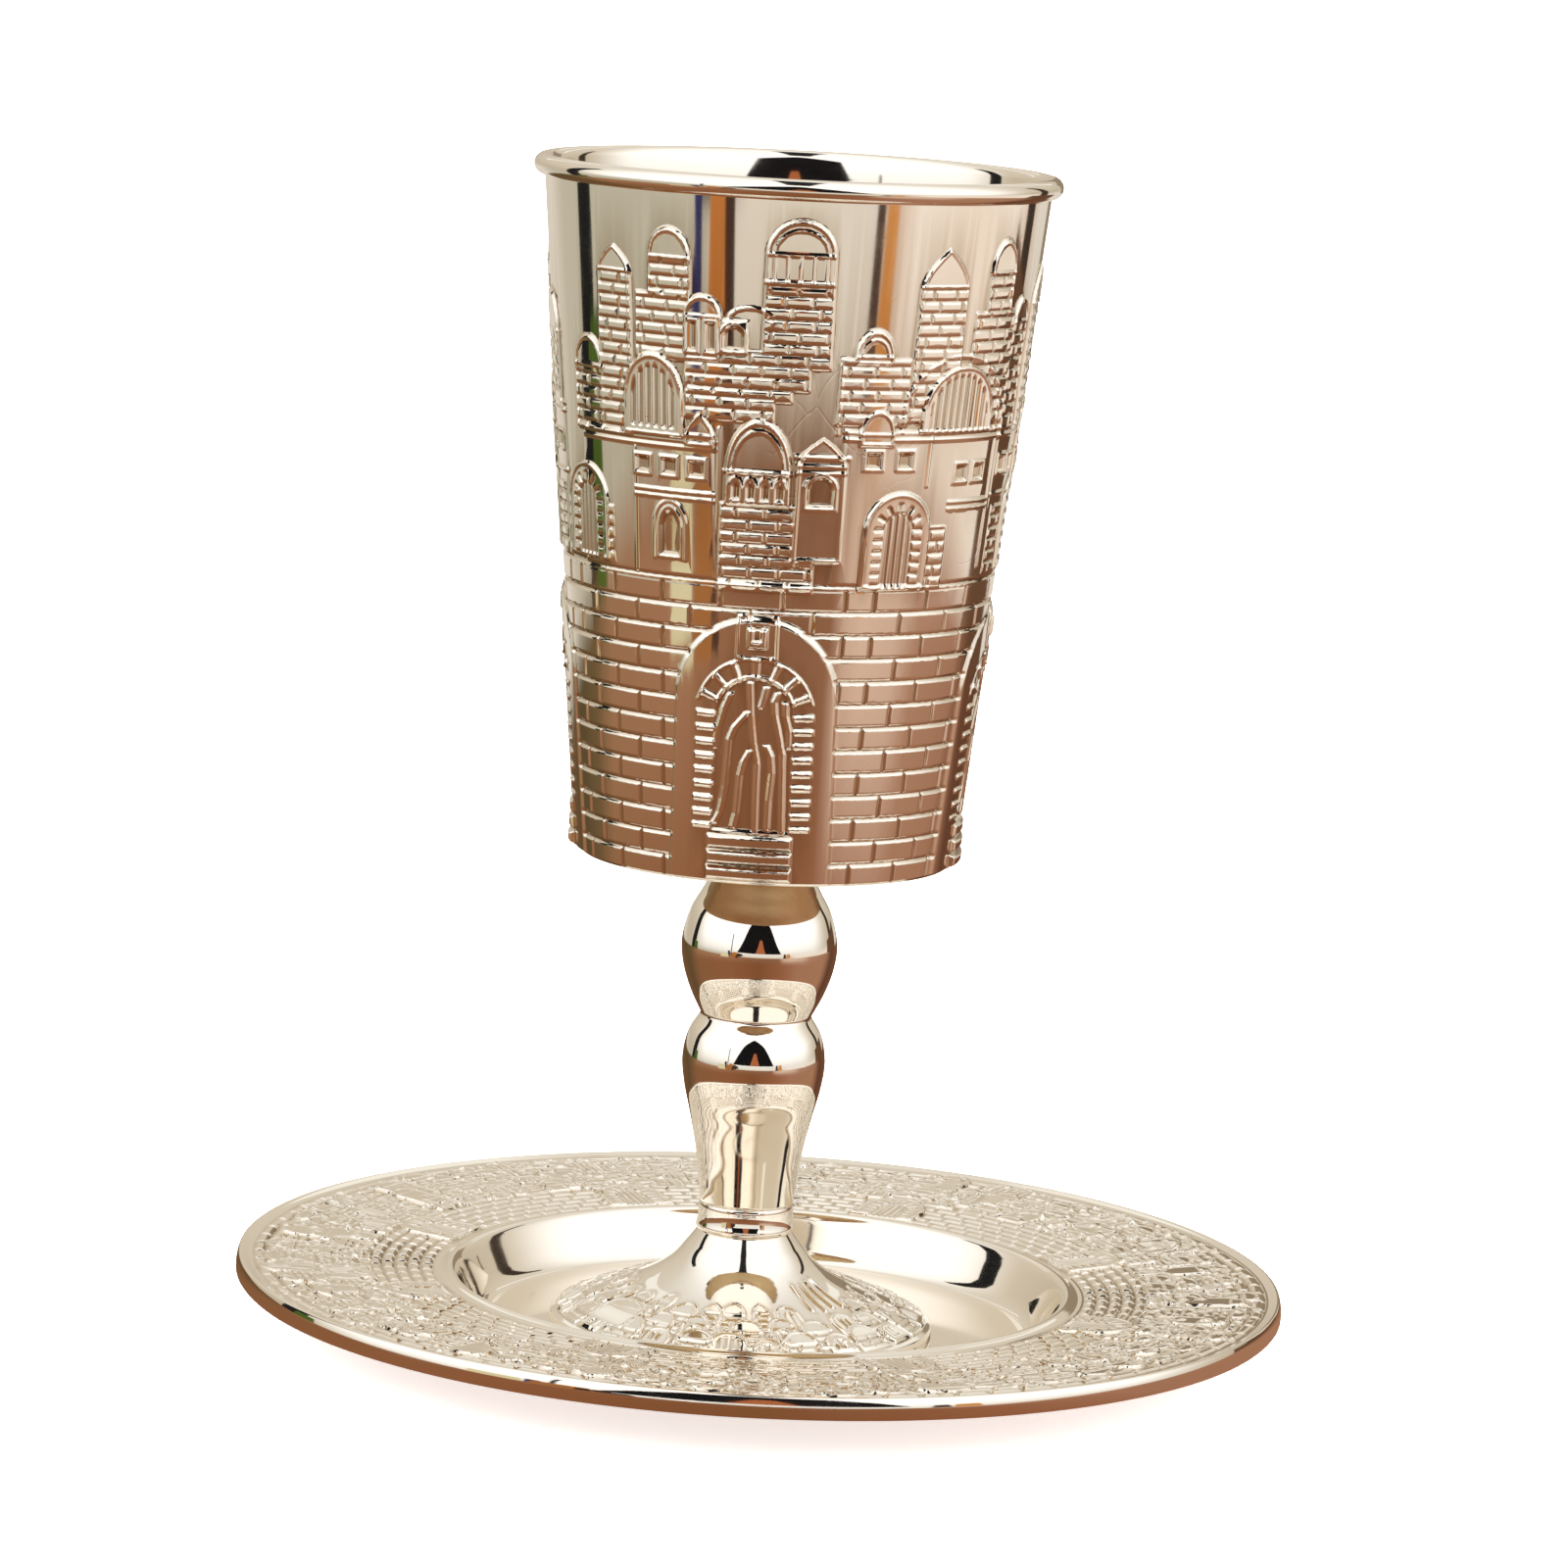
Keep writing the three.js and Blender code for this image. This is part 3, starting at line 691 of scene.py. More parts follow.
def shade_relief(mesh, sheet, axis, lying, band, base_slope):
    """Shades every face corner of a relief band by the sheet's slope, and marks its recesses.

    Each corner reads the sheet a little way inside its own face, so that a broad flat face beside a
    raised edge stays flat.
    """
    co = read_all(mesh.vertices, "co", 3)
    corner_vertex = read_all(mesh.loops, "vertex_index", kind=np.int32)
    starts = read_all(mesh.polygons, "loop_start", kind=np.int32)
    sizes = read_all(mesh.polygons, "loop_total", kind=np.int32)
    corner_face = np.repeat(np.arange(len(sizes)), sizes)
    middle = np.add.reduceat(co[corner_vertex], starts, axis=0) / sizes[:, None]
    inward = middle[corner_face] - co[corner_vertex]
    share = np.minimum(0.55, SHADING_REACH / np.maximum(np.linalg.norm(inward, axis=1), 1e-9))
    side, radius, turn = round_axis(co[corner_vertex] + inward * share[:, None], axis)
    outward = np.stack([side[:, 0] / radius, side[:, 1] / radius, 0 * radius], -1)
    onward = np.stack([-outward[:, 1], outward[:, 0], 0 * radius], -1)
    upward = np.array([0, 0, 1.0])
    along = (radius if lying else side[:, 2]) / MM
    rise = sheet.sample(sheet.slope_along, turn, along)[:, None] + base_slope(along)[:, None]
    swing = sheet.sample(sheet.slope_round, turn, along)[:, None]
    facing = (upward - rise * outward if lying else outward - rise * upward) - swing * onward
    facing /= np.linalg.norm(facing, axis=1)[:, None]
    plain = read_all(mesh.corner_normals, "vector", 3)
    mesh.normals_split_custom_set(np.where(band(middle)[corner_face][:, None], facing, plain))
    chosen = band(co)
    side, radius, turn = round_axis(co[chosen], axis)
    recess = np.zeros(len(co), dtype=np.float32)
    recess[chosen] = sheet.sample(sheet.recess, turn, (radius if lying else side[:, 2]) / MM)
    mesh.attributes.new("recess", "FLOAT", "POINT").data.foreach_set("value", recess)


def struck_piece(name, profile, turns, axis, sheet, lying, band, base_slope, triangles):
    """A turned piece with a sheet of relief pressed into its band."""
    bm = turned(profile, turns, axis)
    press_relief(bm, sheet, axis, lying, band)
    piece = mesh_from(bm, name)
    thin_relief(piece, band, triangles)
    shade_relief(piece.data, sheet, axis, lying, band, base_slope)
    return piece


flare_marks = [(22.9, 2.5), (20.2, 3.7), (17.4, 4.9), (12.2, 7.0), (8.9, 9.1), (6.9, 11.4), (5.55, STEM_LOW)]
flare = smooth_run(flare_marks, 26)
flare_radii = np.array([point[0] for point in flare])[::-1]
flare_heights = np.array([point[1] for point in flare])[::-1]


def flare_height(radius):
    return np.interp(radius, flare_radii, flare_heights)


def flare_slope(radius):
    return (flare_height(radius + 0.1) - flare_height(radius - 0.1)) / 0.2


def foot_band(co):
    side, radius, _ = round_axis(co, cup_axis)
    radius = radius / MM
    above = side[:, 2] / MM > flare_height(radius) - 0.55
    return (radius > FOOT_RELIEF[0]) & (radius < FOOT_RELIEF[1]) & above


# Drawn from the outer edge up, then turned over, so that every head points up the flare. A house is its
# turn, half width, eaves, apex and kind: 0 round-headed, 1 pointed, 2 reeded, 3 plain with a window.
FOOT_FLIP = 34
foot_sheet = ReliefSheet(8, 26, lambda height: FOOT_FLIP - height, 1800, 0.08)
FOOT_FAR = (
    (0, 6, 19.2, 21.4, 0), (13, 4.5, 19.8, 21.5, 1), (26, 6, 18.6, 20.9, 2), (40, 5.5, 19.2, 21, 0),
    (54, 4.5, 19.9, 21.6, 3), (66, 6, 18.4, 20.6, 0), (79, 5, 19.4, 21.2, 1),
)
FOOT_MIDDLE = (
    (6, 6.5, 16, 18.2, 0), (20, 5.5, 16.6, 18.6, 3), (34, 6.5, 15.8, 17.8, 0),
    (48, 5.5, 16.6, 18.6, 2), (61, 6, 16, 18, 0), (75, 5.5, 16.7, 18.4, 3),
)
FOOT_NEAR = (
    (0, 6.5, 13.7, 15.7, 2), (13, 4.5, 13.2, 14.8, 3), (25, 6, 13.9, 15.9, 0), (38, 5, 13.4, 15.2, 3),
    (51, 6.5, 13.8, 16, 0), (64, 5, 13.3, 15, 2), (77, 6, 13.8, 15.7, 0),
)
FOOT_BARS = (37, 43.5, 50, 56.5)
for quarter in range(4):
    for low, level, row in ((14.8, 0.12, FOOT_FAR), (13, 0.19, FOOT_MIDDLE), (11.9, 0.27, FOOT_NEAR)):
        for number, (offset, half, spring, apex, kind) in enumerate(row):
            turn = quarter * 90 - 4 + offset + 2 * uneven(number + 10 * quarter, 3)
            if low > 14 and FOOT_BARS[0] - 8 < turn < FOOT_BARS[-1] + 4:
                continue
            salt = number + quarter
            house(foot_sheet, turn - half, turn + half, low, spring, apex, salt, kind == 1, level,
                  course=FINE_COURSE, reeded=kind == 2, bricks=kind < 2, scale=0.75)
            if kind == 3:
                window_hole(foot_sheet, turn, (low + spring) / 2 + 0.4, 1.1, 1.6, True, 0.2)
for turn in FOOT_BARS:
    line_up(foot_sheet, turn, 19.2 + 0.5 * uneven(turn, 1), 24.9 - 1.2 * uneven(turn, 2), 1.0, 0.3)
house(foot_sheet, 296, 318, 13.4, 16.4, 18.6, 5, bricks=False, level=0.24, scale=0.8)
foot_sheet.height = foot_sheet.height[::-1]
foot_sheet.radius = foot_sheet.radius[::-1]
foot_sheet.finish()

underside = smooth_run(flare_marks, 3)[::-1]
underside = [(max(radius - 0.7, 0), max(height - FOOT_METAL, 0.9)) for radius, height in underside]
profile = [(22.85, FOOT_LOW), (22.98, 1.0), (22.98, 2.2)] + flare + [(0, STEM_LOW), (0, 12.0)]
profile += [point for point in underside if point[0] < 21.6]
profile += [(21.8, 1.3), (21.9, FOOT_LOW), (22.85, FOOT_LOW)]
foot = struck_piece(
    "struck_foot", profile, FOOT_TURNS, cup_axis, foot_sheet, True, foot_band, flare_slope, FOOT_TRIANGLES
)
foot.data.materials.append(silver_plate("struck foot", (0.95, 0.895, 0.81), (0.62, 0.52, 0.4), 0.05, 0.12))
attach(foot, "root")
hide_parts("foot")

# ---- Saucer -------------------------------------------------------------------------------------
# A spun plate with a mirror-bright well for the cup's foot. Its flat rim is struck with a wall of
# bricks round the well and a crowd of houses that point outwards, inside a plain bead and skirt.
SAUCER_TURNS = 1056
SAUCER_TRIANGLES = 195000
RIM_RELIEF = (38.5, 61.3)
RIM_RISE = (6.45, 7.96)
RIM_ROWS = 96
RIM_COURSE = 1.55
RIM_BRICKS = 90
FIRST_COURSE = 39.2
CROWD_END = 61.0
RIM_KNOBS = 1000
RIM_GATES = 8
# The rings of houses, as [inner radius, outer radius, how many, half width in degrees].
RIM_HOUSES = (
    (53.6, CROWD_END, 54, 2.7),
    (51.2, 59.6, 48, 2.2),
    (49.0, 57.0, 54, 2.6),
    (47.4, 54.0, 60, 2.2),
    (46.8, 51.0, 60, 2.0),
)

saucer_low, saucer_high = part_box("saucer")
saucer_axis = (saucer_low + saucer_high) / 2


def rim_height(radius):
    return np.interp(radius, RIM_RELIEF, RIM_RISE)


def rim_slope(radius):
    return 0 * radius + (RIM_RISE[1] - RIM_RISE[0]) / (RIM_RELIEF[1] - RIM_RELIEF[0])


def rim_band(co):
    side, radius, _ = round_axis(co, saucer_axis)
    radius = radius / MM
    above = side[:, 2] / MM > rim_height(radius) - 0.6
    return (radius > RIM_RELIEF[0] + 0.05) & (radius < RIM_RELIEF[1] - 0.05) & above


def arch_gate(sheet, middle, half, low, spring, level, block, scale):
    """A round-headed gateway: a smooth frame, a ring of blocks and a reeded door."""
    half_turn = math.degrees((half + 2) / float(np.interp(spring, sheet.along, sheet.radius)))
    cells, across, along = sheet.window(middle, half_turn, low - 1, spring + half + 2)
    frame_inside = head_inside(across, along, half, low, spring, spring + half)
    sheet.press(cells, frame_inside, level, 0.5 * scale)
    ring_half = half * 0.72
    ring_inside = head_inside(across, along, ring_half, low, spring, spring + ring_half)
    door_half = half * 0.45
    door_inside = head_inside(across, along, door_half, low, spring, spring + door_half)
    angle = np.arctan2(along - spring, np.abs(across))
    place = np.where(along > spring, angle * (ring_half + door_half) / 2, along - spring) / block
    joint = off_whole(place) * block
    in_ring = smooth(ring_inside / 0.3 + 0.5) * smooth(-door_inside / 0.3 + 0.5)
    sheet.height[cells] -= 0.26 * scale * smooth(1 - joint / (0.27 * block)) * in_ring
    reeds = np.abs(np.mod(across / (0.95 * scale) + 0.5, 1) - 0.5) * 2
    sheet.press(cells, door_inside, level - 0.32 * scale, 0.4 * scale)
    sheet.height[cells] += 0.16 * scale * smooth(1.4 - 2.4 * reeds) * smooth(door_inside / 0.3)
    sheet.raise_line(cells, frame_inside - 0.35 * scale, 0.8 * scale, 0.14 * scale)


saucer_sheet = ReliefSheet(37.5, 62.3, lambda radius: radius, 3600, 0.1)
turn_round = np.broadcast_to(saucer_sheet.turn[None, :], saucer_sheet.height.shape)
radius_out = np.broadcast_to(saucer_sheet.along[:, None], saucer_sheet.height.shape)
row = np.floor((radius_out - FIRST_COURSE) / RIM_COURSE)
bed = off_whole((radius_out - FIRST_COURSE) / RIM_COURSE) * RIM_COURSE
brick_turn = 360 / RIM_BRICKS
end = off_whole(turn_round / brick_turn + 0.5 * (row % 2) + 0.3 * uneven(row, 3))
end = end * np.radians(brick_turn) * radius_out
in_rim = smooth((radius_out - 39.1) / 0.3) * smooth((CROWD_END - radius_out) / 0.3)
saucer_sheet.height += in_rim * (0.18 - 0.3 * smooth(1 - np.minimum(bed, end) / 0.5))
for ring, (inner, outer, count, half) in enumerate(RIM_HOUSES):
    for number in range(count):
        salt = number + 100 * ring
        turn = (number + 0.5 * uneven(salt, 1)) * 360 / count
        top = outer - 3.4 * uneven(salt, 2)
        wide = half * (0.7 + 0.6 * uneven(salt, 3))
        level = 0.16 + 0.09 * (number % 4)
        house(saucer_sheet, turn - wide, turn + wide, inner, top - 1.7, top, salt, number % 3 == 0, level,
              course=FINE_COURSE, reeded=number % 5 == 2, bricks=number % 4 != 3, scale=0.85)
for number in range(RIM_KNOBS):
    turn = 360 * uneven(number, 5)
    radius = 47 + 13.6 * uneven(number, 6)
    size = 0.45 + 0.4 * uneven(number, 7)
    cells, across, along = saucer_sheet.window(turn, 1.6, radius - 1, radius + 1)
    knob = smooth(1 - np.hypot(across, along - radius) / size)
    saucer_sheet.height[cells] += (0.24 - 0.38 * (number % 3 == 0)) * knob
for number in range(RIM_GATES):
    middle = (number + 0.5) * 360 / RIM_GATES
    arch_gate(saucer_sheet, middle, 4.2, 39.4, 43.6, 0.36, 1.2, 0.8)
saucer_sheet.finish()


def arc(centre, radius, start, end, steps):
    """Profile points round part of a circle, in degrees."""
    points = []
    for step in range(steps + 1):
        angle = math.radians(start + (end - start) * step / steps)
        points.append((centre[0] + radius * math.cos(angle), centre[1] + radius * math.sin(angle)))
    return points


band_rows = [(float(r), float(rim_height(r))) for r in np.linspace(*RIM_RELIEF[::-1], RIM_ROWS)]
profile = [(0, 0), (33.2, 0)] + arc((33.2, 0.8), 0.8, -90, -25, 3)
profile += [(37.1, 5.2), (37.9, 5.5), (60.2, 6.2), (61.5, 5.9)]
profile += arc((62.4, 6.05), 0.36, 215, 330, 3) + [(62.88, 6.1), (62.9, 6.3), (62.9, 6.75)]
profile += arc((58.9, 6.75), 4.0, 2, 20, 4) + arc((62.378, 8.017), 0.3, 38, 112, 4)
profile += [(61.85, 8.14), (61.5, 8.02)] + band_rows + arc((37.3, 6.0), 0.95, 60, 150, 6)
profile += smooth_run([(36.2, 6.0), (35.0, 3.6), (33.9, 1.6), (32.4, 0.82), (28, 0.8)], 3) + [(0, 0.8)]
saucer = struck_piece(
    "struck_saucer", profile, SAUCER_TURNS, saucer_axis, saucer_sheet, True, rim_band, rim_slope,
    SAUCER_TRIANGLES
)
saucer.data.materials.append(silver_plate("struck saucer", (0.95, 0.89, 0.8), (0.6, 0.5, 0.37), 0.05, 0.13))
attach(saucer, "root")
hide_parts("saucer")

# ---- Bowl ---------------------------------------------------------------------------------------
# A tapered beaker of sheet metal with a rolled rim, bright at the lip and brushed inside, where a
# half-diffuse finish paints in bounce light.
# is struck a city: four arched gates in a wall of bricks, and above them houses, domes and towers up to
# a plain band.
BOWL_TURNS = 1152
BOWL_TRIANGLES = 195000
BOWL_BOTTOM = STEM_HIGH
BOWL_BOTTOM_RADIUS = 22.05
BOWL_FLARE = 0.0964
BOWL_METAL = 1.2
BEAD = (29.84, 139.57)
BEAD_TUBE = 1.23
WALL_COURSE = 2.71
WALL_COURSES = 13
WALL_ROWS = 480
WALL_RELIEF = (BOWL_BOTTOM + 0.45, 138.3)
BRICK_TURN = 360 / 22
FRONT_GATE = -4.6
GATE_HALF = 9.6
GATE_SPRING = 80.8
ARCH_BLOCK = 2.15
JAMB_BLOCK = 1.66


def wall_radius(height):
    return BOWL_BOTTOM_RADIUS + BOWL_FLARE * (height - BOWL_BOTTOM)


def wall_slope(height):
    return 0 * height + BOWL_FLARE


def wall_band(co):
    side, radius, _ = round_axis(co, cup_axis)
    height = side[:, 2] / MM
    outside = radius / MM > wall_radius(height) - 0.75
    return outside & (height > WALL_RELIEF[0]) & (height < WALL_RELIEF[1])


wall = ReliefSheet(BOWL_BOTTOM - 0.5, 139, wall_radius, 1800, 0.1)

# The city wall: regular bricks, half a brick over in every second course.
turn_round = np.broadcast_to(wall.turn[None, :], wall.height.shape)
up = np.broadcast_to(wall.along[:, None], wall.height.shape)
course = np.floor((up - BOWL_BOTTOM) / WALL_COURSE)
bed = off_whole((up - BOWL_BOTTOM) / WALL_COURSE) * WALL_COURSE
gate_turn = np.degrees(GATE_HALF / wall_radius(70))
along_wall = np.mod(turn_round - FRONT_GATE - gate_turn, 90)
first_joint = np.where(course % 2 == 0, 6.8, 14.95)
end = off_whole((along_wall - first_joint) / BRICK_TURN) * np.radians(BRICK_TURN) * wall_radius(up)
joint = np.minimum(bed, end)
in_wall = smooth((BOWL_BOTTOM + WALL_COURSES * WALL_COURSE + 0.2 - up) / 0.4)
wall.height += in_wall * (0.15 - 0.26 * smooth(1 - joint / 0.34))


def city(turn):
    """The crowd of buildings through half a turn, drawn from the farthest to the nearest."""

    def over(motif, left, right, *marks, **manner):
        motif(wall, turn + left, turn + right, *marks, **manner)

    def at(motif, spot, *marks, **manner):
        motif(wall, turn + spot, *marks, **manner)

    # The great tower: a dome with a double outline over five openings, then brick.
    over(house, -6.2, 9.4, 119.3, 132.2, 136.2, 1, bricks=False, level=0.2)
    over(outline, -4.4, 7.6, 132.2, 132.2, 135.0, width=0.5, proud=0.1)
    for slot in range(5):
        line_up(wall, turn - 4.2 + slot * 2.9, 129.2, 132, 0.5, 0.16)
    over(line_across, -6.2, 9.4, 129.0)
    over(patch, -6.2, 9.4, 119.3, 128.3, 2)
    over(patch, -25, 5, 116.7, 121, 3)
    over(patch, -25, 1, 115.3, 117.8, 4)
    over(patch, -25, -3, 112.9, 116, 5)
    # The towers to its left.
    over(house, -50.9, -40.2, 110, 128.9, 131.8, 6, pointed=True)
    over(house, -34.9, -24.2, 126, 131, 134.4, 7)
    over(patch, -38.8, -24, 119.3, 126.8, 8)
    over(house, -62, -50, 110, 117.5, 121, 9)
    # The arched house between them, with two dark openings and a low arc beside it.
    over(house, -25.5, -16.4, 119.5, 124.6, 127, 10, bricks=False, level=0.24)
    at(window_hole, -23.3, 122.3, 1.1, 3.4)
    at(window_hole, -18.7, 122.3, 1.1, 3.4)
    over(patch, -16.6, -9.8, 120.4, 124.4, 11, bricks=False, level=0.2)
    at(window_hole, -13.2, 122.4, 2.6, 3.0, True)
    over(outline, -14.4, -4.1, 124.2, 124.4, 125.9, width=0.6, proud=0.12)
    # The towers to its right.
    over(house, 30.4, 43.8, 113.5, 129, 133.4, 12, pointed=True)
    over(house, 51, 61, 125.2, 130.5, 134.4, 13)
    over(patch, 47.5, 64, 113, 126, 14)
    over(house, 64, 72, 111, 124.6, 127.6, 15)
    over(house, 76, 88, 110, 126.5, 131, 16, pointed=True)
    over(house, 92, 106, 110, 120.5, 125.4, 17)
    # The brick block with its small dome.
    over(patch, 12, 29.8, 113, 120.7, 18)
    over(house, 15.5, 25, 120, 120.9, 124, 19, bricks=False, level=0.24)
    over(outline, 17, 23.5, 120.9, 120.9, 122.9, width=0.5, proud=0.12)
    # Wide arches with reeded doors.
    over(house, -42.4, -25.3, 110.4, 114.6, 119.9, 20, level=0.42, reeded=True)
    over(house, 34, 58, 111.2, 114.4, 119.9, 21, level=0.42, reeded=True)
    over(outline, 30, 60.5, 112, 114.6, 120.6, inset=-0.4, width=0.8, proud=0.14)
    # The long cornices and the plain storey under them, with its windows.
    over(patch, -60, -17, 94.5, 110.2, 22, 0.2, bricks=False)
    over(patch, 14, 64, 94.5, 112.2, 23, 0.2, bricks=False)
    for left, right, heights in ((-60, -17, (110.2, 109.4)), (14, 64, (112.3, 111.4))):
        for height in heights:
            over(line_across, left, right, height)
    # The same storey on round the sides, under its own dome.
    over(patch, 64, 109, 94.5, 112.3, 36, 0.2, bricks=False)
    for height in (112.3, 111.4, 104.4):
        over(line_across, 64, 109, height)
    for spot in (68.5, 75, 98.5, 105):
        at(window_hole, spot, 107.9, 1.9, 1.9)
    over(house, 79.5, 94, 104, 109.6, 115.2, 37, bricks=False, level=0.4)
    over(outline, 81, 92.5, 109.6, 109.6, 114.0, width=0.6, proud=0.12)
    for slot in range(3):
        window_hole(wall, turn + 83.2 + slot * 3.6, 107.2, 1.0, 2.3, True, 0.24)
    over(house, -25, -17.4, 109.6, 110.9, 113.5, 24, bricks=False, pointed=True, level=0.34)
    over(house, 18, 27, 110.6, 112, 114.8, 25, bricks=False, level=0.34)
    for spots, height in (((-36.9, -29.3, -21.8), 107), ((22.1, 30.7), 109), ((49, 56), 107.4)):
        for spot in spots:
            at(window_hole, spot, height, 1.9, 1.9)
    for left, right, heights in ((-39.3, -17, (104.2, 103.5)), (45.5, 62, (104, 103.2))):
        for height in heights:
            over(line_across, left, right, height)
    at(window_hole, -29, 99.4, 2.6, 5.4, True)
    over(outline, -33.4, -24.6, 96.2, 100.4, 103, width=0.7, proud=0.14)
    for spot, low, high in (
        (-39.3, 94.5, 109), (-16.2, 94.5, 112), (12.4, 112, 120), (37.6, 106, 112), (62.5, 96, 111)
    ):
        at(line_up, spot, low, high)
    # The great dome over a wall with four small windows, and the lantern hut beside it.
    over(house, -14.3, 1.8, 94, 107.2, 113.2, 26, bricks=False, level=0.42)
    over(outline, -12.6, 0.1, 107.2, 107.2, 111.9, width=0.6, proud=0.12)
    for slot in range(4):
        window_hole(wall, turn - 11.6 + slot * 3.6, 105, 1.0, 2.3, True, 0.24)
    over(patch, -15.6, 8.4, 93.4, 103.4, 27, 0.36)
    over(line_across, -15, 2, 107.1)
    over(house, 3, 15.3, 97, 108.2, 111.4, 28, bricks=False, level=0.36, pointed=True)
    over(line_across, 2.6, 15.8, 109.2, 0.8, 0.2)
    over(line_across, 3, 15.3, 107.4, 0.6, 0.14)
    at(window_hole, 9.2, 105.2, 3.2, 3.6, True, 0.3)
    # Two arched gates of the upper town, between brick piers.
    over(patch, -70, -47, 95, 101.6, 29, 0.34)
    at(arch_gate, -58.4, 4.4, 95, 101.8, 0.4, 1.3, 0.9)
    over(patch, 21.5, 45.9, 94, 101.2, 31, 0.34)
    at(arch_gate, 30.6, 4.3, 94, 101, 0.42, 1.3, 0.9)
    at(arch_gate, 86, 5.2, 95, 102, 0.4, 1.4, 1.0)
    over(patch, 66, 74, 95, 103, 34, 0.34)
    over(patch, 98, 108, 95, 103, 35, 0.34)


for half_turn in (0, 180):
    city(half_turn)
for left in (-6, 84, 174, 264):
    line_across(wall, left - 45, left + 45, 93.95, 0.7, 0.2)

# The old door's boards: ridges that run up from the sill and lean together, as [across, up] marks.
DOOR_RIDGES = (
    ((0.6, 0), (0.55, 3.8), (0.55, 8), (0.05, 10.5), (-0.35, 13.8), (-0.6, 17.7)),
    ((-4.2, 0.6), (-3.5, 2.1), (-3.2, 3.8), (-3.0, 5.4), (-2.8, 9.3), (-2.75, 10.7), (-2.2, 12.2),
     (-0.7, 14.1)),
    ((-4.3, 9.5), (-4.1, 12), (-3.5, 14.4), (-2.8, 16.2)),
    ((-2.0, 0.2), (-1.6, 2.1), (-1.35, 6.6), (-1.0, 8.2), (-0.3, 9.6)),
    ((1.95, 0.2), (2.0, 3.8), (2.25, 7), (2.05, 9), (1.45, 10.3)),
    ((3.6, 0), (3.5, 3.8), (3.35, 9.3), (3.0, 11), (2.35, 13.8), (2.2, 15.4), (2.7, 16.6)),
    ((4.05, 9.9), (4.0, 12), (3.55, 13.8), (3.5, 15.4)),
    ((0.65, 14.6), (1.0, 15.8), (1.3, 17.2)),
)


def great_gate(turn):
    """A gate of the lower wall: smooth frame, ring of blocks, old plank door, keystone, three steps."""
    cells, across, along = wall.window(turn, 30, BOWL_BOTTOM - 0.5, GATE_SPRING + GATE_HALF + 2)
    gate_top = GATE_SPRING + GATE_HALF
    frame_inside = head_inside(across, along, GATE_HALF, BOWL_BOTTOM - 2, GATE_SPRING, gate_top)
    wall.press(cells, frame_inside - 0.2, 0.42, 0.8)
    crown = np.clip(frame_inside / GATE_HALF, 0, 1)
    wall.height[cells] += 0.1 * crown * (2 - crown)
    ring_half, ring_spring, door_half, sill = 6.7, 78.8, 4.4, 65.2
    ring_inside = head_inside(across, along, ring_half, 62, ring_spring, ring_spring + ring_half)
    door_inside = head_inside(across, along, door_half, sill, ring_spring, ring_spring + door_half)
    angle = np.arctan2(along - ring_spring, np.abs(across))
    middle = (ring_half + door_half) / 2
    in_arch = along > ring_spring
    place = np.where(in_arch, angle * middle / ARCH_BLOCK, (along - ring_spring) / JAMB_BLOCK)
    joint = off_whole(place) * np.where(in_arch, ARCH_BLOCK, JAMB_BLOCK)
    in_ring = smooth(ring_inside / 0.3 + 0.5) * smooth(-door_inside / 0.3 + 0.2)
    in_ring = in_ring * smooth((along - sill) / 0.4)
    wall.height[cells] += 0.26 * smooth(1.25 - joint / 0.36) * in_ring
    arch_part = along > ring_spring + 1.5
    wall.raise_line(cells, np.where(arch_part, door_inside + 0.2, 9), 0.55, 0.2)
    wall.raise_line(cells, np.where(arch_part, ring_inside, 9), 0.55, 0.14)
    wall.press(cells, door_inside, 0.36, 0.4)
    for marks in DOOR_RIDGES:
        heights = [sill + mark[1] for mark in marks]
        centre = np.interp(along, heights, [mark[0] for mark in marks])
        lean = abs(marks[-1][0] - marks[0][0]) / (heights[-1] - heights[0])
        distance = (across - centre) / math.hypot(1, lean)
        distance = np.where((along > heights[0]) & (along < heights[-1]), distance, 9)
        wall.raise_line(cells, distance, 1.05, 0.24)
    # The keystone panel and its knob.
    panel = box_inside(across, along, -2.2, 2.2, 85.6, 90.4)
    wall.raise_line(cells, np.where(np.abs(across) > 1.6, panel, 9), 0.5, 0.2)
    knob = box_inside(across, along, -1.15, 1.15, 86.7, 89.1)
    wall.height[cells] += 0.42 * smooth(knob / 0.4 + 0.3)
    wall.height[cells] -= 0.3 * smooth(box_inside(across, along, -0.6, 0.6, 87.5, 89.4) / 0.3)
    # Steps that stand well forward of the wall.
    for step in range(3):
        low = 59.45 + step * 1.85
        tread = box_inside(across, along, -4.75, 4.75, low, low + 1.35)
        wall.press(cells, tread, 1.25 - 0.18 * step, 0.4)


for quarter in range(4):
    great_gate(FRONT_GATE + 90 * quarter)
wall.finish()

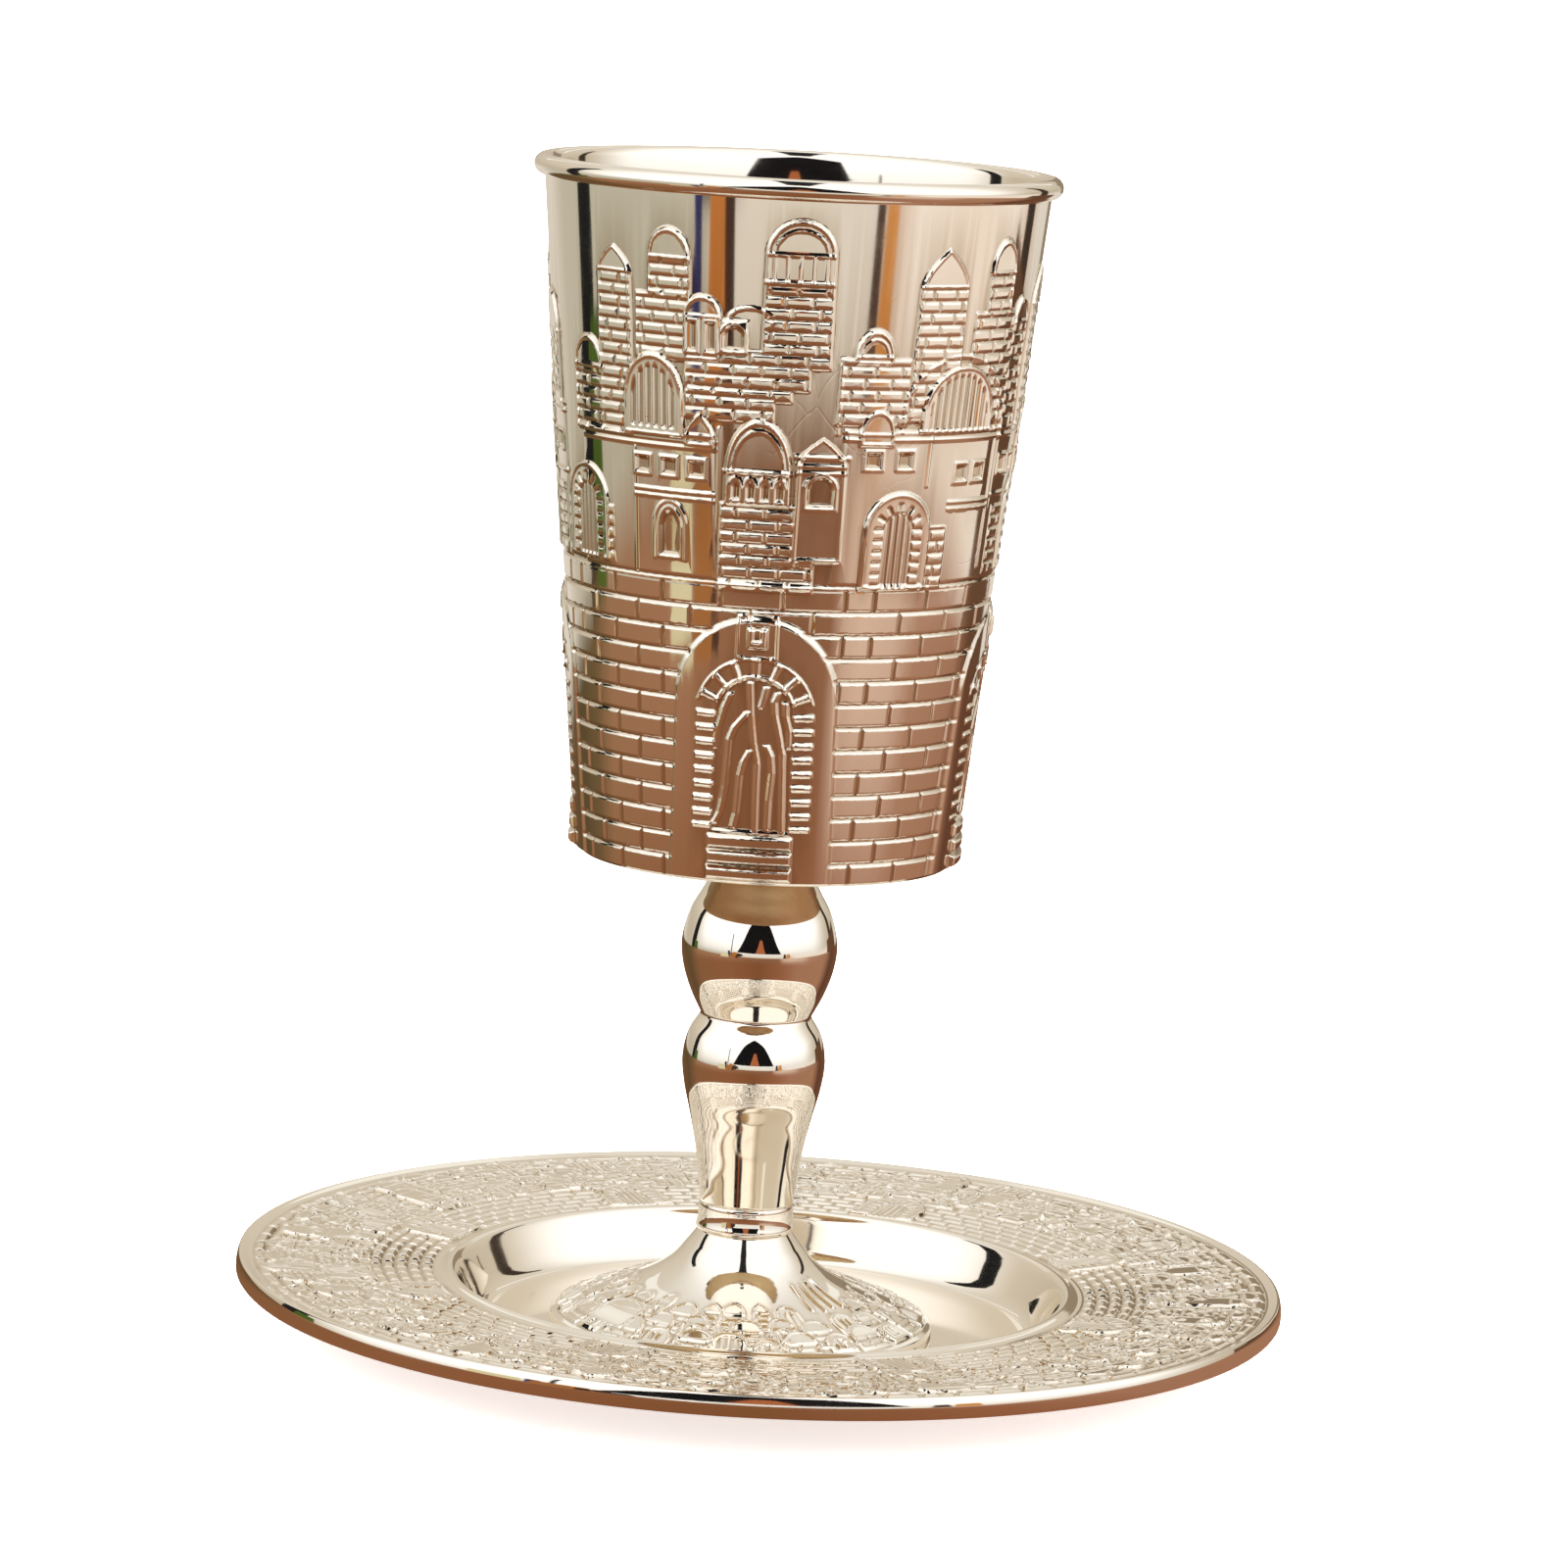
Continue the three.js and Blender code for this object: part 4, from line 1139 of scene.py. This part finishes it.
wall_rows = [(float(wall_radius(z)), float(z)) for z in np.linspace(BOWL_BOTTOM + 0.4, 138.4, WALL_ROWS)]
corner = 65.4
inner = wall_radius(corner) - BOWL_METAL
profile = [(0, BOWL_BOTTOM), (21.5, BOWL_BOTTOM), (21.85, BOWL_BOTTOM + 0.08), (22.02, BOWL_BOTTOM + 0.24)]
profile += wall_rows + arc(BEAD, BEAD_TUBE, -82, 176, 14)
profile += [(wall_radius(z) - BOWL_METAL, z) for z in np.linspace(137.5, corner, 8)]
inner_corner = [(inner, corner), (inner - 0.9, 62.6), (inner - 3.2, 60.9), (inner - 7, 60.25), (9, 60.2)]
profile += smooth_run(inner_corner, 2)[1:] + [(0, 60.2)]
bowl = struck_piece(
    "struck_bowl", profile, BOWL_TURNS, cup_axis, wall, False, wall_band, wall_slope, BOWL_TRIANGLES
)
bowl.data.materials.append(silver_plate("struck bowl", (0.95, 0.89, 0.8), (0.6, 0.5, 0.38), 0.06, 0.14))
bowl.data.materials.append(silver_plate("satin underside", (0.8, 0.66, 0.42), (0.6, 0.5, 0.38), 0.38, 0.5))

# Inside, the polish of the lip gives way to the brushed finish that a spoon and a cloth leave below. Below
# the lip the metal is also made half diffuse so that the lamps light it straight: painted bounce light, in
# place of the light that more bounces inside the cup would bring.
LIP_POLISH_AND_BOUNCE_FADE = (112, 128)
inside = silver_plate("brushed inside with painted bounce light", (0.93, 0.885, 0.8), (0.8, 0.72, 0.58), 0.3, 0.4)
tree = inside.node_tree
split = add_node(tree, "SeparateXYZ", {0: add_node(tree, "TexCoord").outputs["Object"]})
shader = tree.nodes["Principled BSDF"]
dull = shader.inputs["Roughness"].links[0].from_node
lip = {"Value": split.outputs["Z"], "From Min": LIP_POLISH_AND_BOUNCE_FADE[0] * MM, "From Max": LIP_POLISH_AND_BOUNCE_FADE[1] * MM}
# Below the lip, metallic 0.5 is painted bounce light: the diffuse half is lit straight by the lamps. The
# rougher values are the brushed finish.
for socket, brushed_and_bounce_lit, polished in (
    (shader.inputs["Metallic"], 0.5, 1.0),
    (dull.inputs["To Min"], 0.32, 0.06),
    (dull.inputs["To Max"], 0.42, 0.14),
):
    polish = add_node(tree, "MapRange", {**lip, "To Min": brushed_and_bounce_lit, "To Max": polished})
    tree.links.new(polish.outputs[0], socket)
bowl.data.materials.append(inside)
for face in bowl.data.polygons:
    spot = (face.center - cup_axis) / MM
    height = face.center.z / MM
    if height < BOWL_BOTTOM + 0.05:
        face.material_index = 1
    elif BOWL_BOTTOM + 1 < height < 138 and math.hypot(spot.x, spot.y) < wall_radius(height) - 0.9:
        face.material_index = 2
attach(bowl, "root")
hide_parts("bowl")
